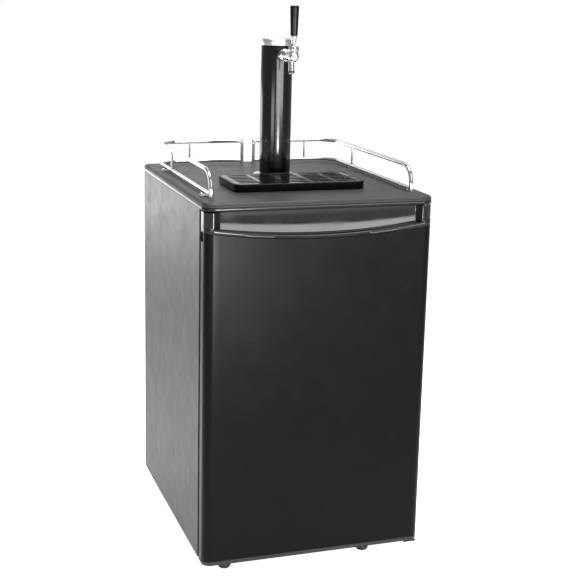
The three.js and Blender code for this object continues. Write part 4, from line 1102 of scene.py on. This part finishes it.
def make_tower():
    """The column with its hole for the shank, the stepped flange and the domed cap."""
    low, high, x, y, r = measures("tower_column")
    axis = (x, y, 0)
    wall = 0.0023
    column = turned(
        "tower_column_visual",
        [(r - wall, low.z), (r - 0.0004, low.z), (r, low.z + 0.0006), (r, high.z), (r - wall, high.z)],
        axis, 0.0003, 128, closed=True,
    )
    tap = middle_of("shank")
    line = from_base(0, (0, 20), (11.3, 20), (11.3, 70), (0, 70))
    hole = turned("hole", line, (tap.x, axis[1], tap.z), 0, 48, "-Y")
    place_piece(carved(column, hole), "tower_paint", "tower_column")
    low, high, _, _, wide = measures("tower_flange")
    z = low.z
    flange = turned(
        "tower_flange_visual",
        [(0.029, z), (wide, z), (wide - 0.0002, z + 0.0022), (wide - 0.0022, z + 0.0046),
         (wide - 0.006, z + 0.0068), (wide - 0.0105, z + 0.0084), (r + 0.0012, z + 0.0094),
         (r - wall - 0.0003, z + 0.0094), (r - wall - 0.0003, high.z), (0.029, high.z)],
        axis, 0.0012, 128, closed=True,
    )
    place_piece(flange, "satin_chrome", "tower_flange")
    low, high, _, _, rim = measures("tower_cap")
    skirt = r - wall - 0.0003
    z = low.z + 0.004
    cap = turned(
        "tower_cap_visual",
        [(0, z + 0.002), (skirt - 0.003, z + 0.002), (skirt - 0.003, low.z), (skirt, low.z), (skirt, z),
         (rim, z), (rim, z + 0.0132), (rim - 0.0018, z + 0.0148), (rim - 0.008, z + 0.0164),
         (rim - 0.02, z + 0.0178), (0, high.z)],
        axis, 0.0008, 128,
    )
    place_piece(cap, "satin_chrome", "tower_cap", body="cap")


def forward(name, profile, tap_z, steps=64, soften=0.0005, closed=False):
    """A piece turned on the tap's axis; its heights are distances in front of the tower's axis."""
    axis_y = middle_of("tower_column").y
    return turned(name, profile, (0, axis_y, tap_z), soften, steps, "-Y", closed)


def make_tap():
    """The threaded shank and its nuts, then the faucet, the lever and the beer line."""
    tap_z = middle_of("shank").z
    _, _, _, axis_y, r = measures("tower_column")
    shank = from_base(r, (4, -26), (11, -26))
    for k in range(16):
        shank += from_base(r - 0.024 + 0.003 * k, (11, 0), (10.3, 1.5))
    shank += from_base(r, (11, 24), (4, 24))
    place_piece(forward("shank_visual", shank, tap_z, 48, 0.0002, True), "chrome", "shank")
    profile = from_base(r, (11.2, -8), (13.5, -8), (13.5, 14.5), (12.7, 16.5), (11.2, 16.5))
    collar = forward("shank_collar_visual", profile, tap_z, 96, 0.0006, True)
    line = [(0, tap_z - 0.05), (r + 0.0001, tap_z - 0.05), (r + 0.0001, tap_z + 0.05), (0, tap_z + 0.05)]
    column = turned("column", line, (0, axis_y, 0), 0, 128)
    place_piece(carved(collar, column), "chrome", "shank_collar")
    place_piece(refined("shank_nut", 0.0005), "zinc", "shank_nut")
    profile = from_base(
        r, (11.2, 19), (13.6, 19), (14.6, 20.4), (14.6, 29.6), (13.8, 31.2), (12.5, 32), (11.2, 32),
    )
    nut = forward("coupling_nut_visual", profile, tap_z, 96, 0.0006, True)
    for k in range(6):
        angle = math.radians(60 * k + 15)
        x, z = 0.0152 * math.sin(angle), tap_z + 0.0152 * math.cos(angle)
        line = from_base(0, (0, 0), (2.2, 0), (2.2, 7.2), (0, 7.2))
        carved(nut, turned("notch", line, (x, axis_y - r - 0.0214, z), 0, 20, "-Y"))
    place_piece(nut, "chrome", "coupling_nut")
    make_faucet(tap_z, r)
    make_lever()
    make_beer_line(tap_z)


def make_faucet(tap_z, r):
    """The cast body: a waisted barrel, the lever housing, and the spout with its black ring and nozzle."""
    lever = middle_of("faucet_bonnet")
    profile = from_base(
        r, (0, 24.5), (10.5, 24.5), (10.5, 34), (9.6, 37), (9.7, 41), (10.2, 46), (11.3, 56), (11.3, 85),
        (10.7, 88.6), (8.8, 91.6), (5, 93.6), (0, 94),
    )
    barrel = forward("faucet_barrel", profile, tap_z, 96, 0.0012)
    profile = from_base(
        tap_z, (0, -9), (8.5, -9), (10.8, -6.6), (11, 9.2), (10.4, 11), (8, 11), (8, 3), (0, 3),
    )
    housing = turned("faucet_housing", profile, (lever.x, lever.y, 0), 0.0008, 64)
    place = lambda y, drop: (0, y, tap_z - drop)
    bend = (*place(-0.0755, 0.018), 0.01)
    spout = tube("spout", [place(-0.072, 0.003), bend, place(-0.079, 0.0355)], 0.0068, 40, 12)
    nozzle = tube("spout_nozzle", [place(-0.0786, 0.0335), place(-0.0796, 0.0385)], 0.0052, 40)
    bevel(nozzle, 0.0006)
    bore = tube("bore", [place(-0.0772, 0.0265), place(-0.0802, 0.0415)], 0.0038, 32)
    carved(spout, duplicate(bore))
    carved(nozzle, duplicate(bore))
    body = joined("faucet_body_visual", [barrel, housing, spout, nozzle])
    place_piece(body, "chrome", "faucet_body")
    ring = tube("spout_ring", [place(-0.07832, 0.0321), place(-0.07902, 0.0356)], 0.0069, 40)
    bevel(ring, 0.0005)
    place_piece(carved(ring, bore), "black_plastic")
    low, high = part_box("faucet_bonnet")
    profile = from_base(low.z, (7.6, 0), (10.3, 0), (11.2, 2), (11.6, 6), (11.2, 10))
    profile += [(0.0104, high.z), (0.0095, high.z)]
    bonnet = turned("faucet_bonnet_visual", profile, (lever.x, lever.y, 0), 0.0006, 96, closed=True)
    place_piece(bonnet, "chrome", "faucet_bonnet")


def duplicate(obj):
    copy = bpy.data.objects.new(obj.name + "_copy", obj.data.copy())
    bpy.context.collection.objects.link(copy)
    return copy


def make_lever():
    """The ball lever, its ferrule and the tapered handle."""
    low, high, x, y, _ = measures("faucet_lever")
    pivot = low.z + 0.008
    ball = [(0, low.z), (0.003, low.z), (0.003, pivot - 0.0053)]
    for k in range(1, 12):
        angle = math.radians(-62 + 11 * k)
        ball.append((0.006 * math.cos(angle), pivot + 0.006 * math.sin(angle)))
    ball += [(0.0032, pivot + 0.0062), (0.003, pivot + 0.0075), (0.003, high.z), (0, high.z)]
    lever = turned("faucet_lever_visual", ball, (x, y, 0), 0.0003, 48)
    place_piece(lever, "chrome", "faucet_lever", body="tap")
    low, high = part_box("lever_ferrule")
    ferrule = from_base(low.z, (3.3, 0), (4.2, 0), (4.7, 1.5), (5.7, 6.6), (5.2, 7.2), (5.5, 8.4))
    ferrule += from_base(high.z, (6.9, -3), (6.9, 0), (3.3, 0))
    ferrule = turned("lever_ferrule_visual", ferrule, (x, y, 0), 0.0003, 64, closed=True)
    place_piece(ferrule, "chrome", "lever_ferrule", body="tap")
    low, high, _, _, wide = measures("tap_handle")
    handle = [
        (0.0033, low.z + 0.0002), (0.0076, low.z + 0.0002), (0.008, low.z + 0.0012), (wide, high.z - 0.005),
        (wide, high.z - 0.002), (wide - 0.0005, high.z - 0.0007), (wide - 0.0016, high.z), (0, high.z),
        (0, low.z + 0.0083), (0.0033, low.z + 0.0083),
    ]
    handle = turned("tap_handle_visual", handle, (x, y, 0), 0.0006, 96, closed=True)
    place_piece(handle, "handle_plastic", "tap_handle", body="tap")


def make_beer_line(tap_z):
    """The hose from the shank down the tower, and the union with barbs below it."""
    low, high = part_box("beer_line")
    line_y = high.y - 0.0047
    line = tube(
        "beer_line_visual",
        [(0, low.y, tap_z), (0, line_y, tap_z, 0.012), (0, line_y, low.z)],
        0.00465, 28, 12,
    )
    place_piece(line, "hose", "beer_line")
    low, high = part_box("line_union")
    barbs = from_base(
        low.z, (0, 0), (5, 0), (6.2, 3), (5, 3.4), (6.2, 6.8), (5, 7.2), (5, 12), (0, 12),
    )
    flats = from_base(low.z, (0, 11.5), (8.8, 11.5)) + [(0.0088, high.z), (0, high.z)]
    parts = [
        turned("barb", barbs, (0, line_y, 0), 0, 48),
        turned("hexagon", flats, (0, line_y, 0), 0, 6),
    ]
    bevel(parts[1], 0.0006)
    place_piece(joined("line_union_visual", parts), "chrome", "line_union")


# ---- drip tray


def make_drip_tray():
    """A shallow pan with a rolled rim and a ledge for the grate."""
    low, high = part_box("drip_tray")
    corner = 0.016

    def outline(inset):
        return plan_of(low, high, inset, max(corner - inset, 0.001))

    rim, ledge = 3.2, high.z - 0.0038
    levels = levels_of(outline, low.z, (4.5, 0), (2.2, 0.4), (1.2, 1.6))
    levels += levels_of(outline, high.z, (0.6, -2.2), (0, -1.8), (0, -0.6), (0.7, 0))
    levels += levels_of(outline, high.z, (rim - 0.6, 0), (rim, -0.5))
    levels += levels_of(outline, ledge, (rim + 0.3, 0), (7.5, 0), (8.2, -0.8))
    levels += levels_of(outline, low.z, (9.5, 4.2), (11.5, 3), (30, 3))
    tray = stacked("drip_tray_visual", levels, sharp_deg=50)
    place_piece(tray, "tray_plastic", "drip_tray", body="tray")


def make_drip_grate():
    """A frame with ribs that run front to back, and rows of slots between them."""
    low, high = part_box("drip_grate")
    corner = 0.0115
    plate = prism("drip_grate_visual", plan_of(low, high, 0, corner), low.z, high.z)
    bays, rows = 5, 6
    side, end = 0.006, 0.008
    rib_half, bar_half = 0.005, 0.004
    bay = (high.x - low.x - 2 * side) / bays
    pitch = (high.y - low.y - 2 * end) / rows
    holes = []
    for i in range(bays):
        x = low.x + side + i * bay
        for k in range(rows):
            y = low.y + end + k * pitch
            outline = rounded_rectangle(
                x + rib_half, x + bay - rib_half, y + bar_half, y + pitch - bar_half, 0.004, 5,
            )
            holes.append(prism("slot", outline, low.z - 0.002, high.z + 0.002))
    carved(plate, joined("slots", holes))
    place_piece(bevel(plate, 0.0006, 2), "tray_plastic", "drip_grate", body="grate")


# ---- the whole object

make_camera()
make_lights()
make_backdrop()
make_floor()
make_materials()
make_worktop()
make_cabinet()
make_machine_space()
make_feet()
make_hinges()
make_door_skin()
make_door_fascia()
make_door_bottom_cap()
make_door_liner()
make_door_gasket()
make_rails()
make_tower()
make_tap()
make_drip_tray()
make_drip_grate()
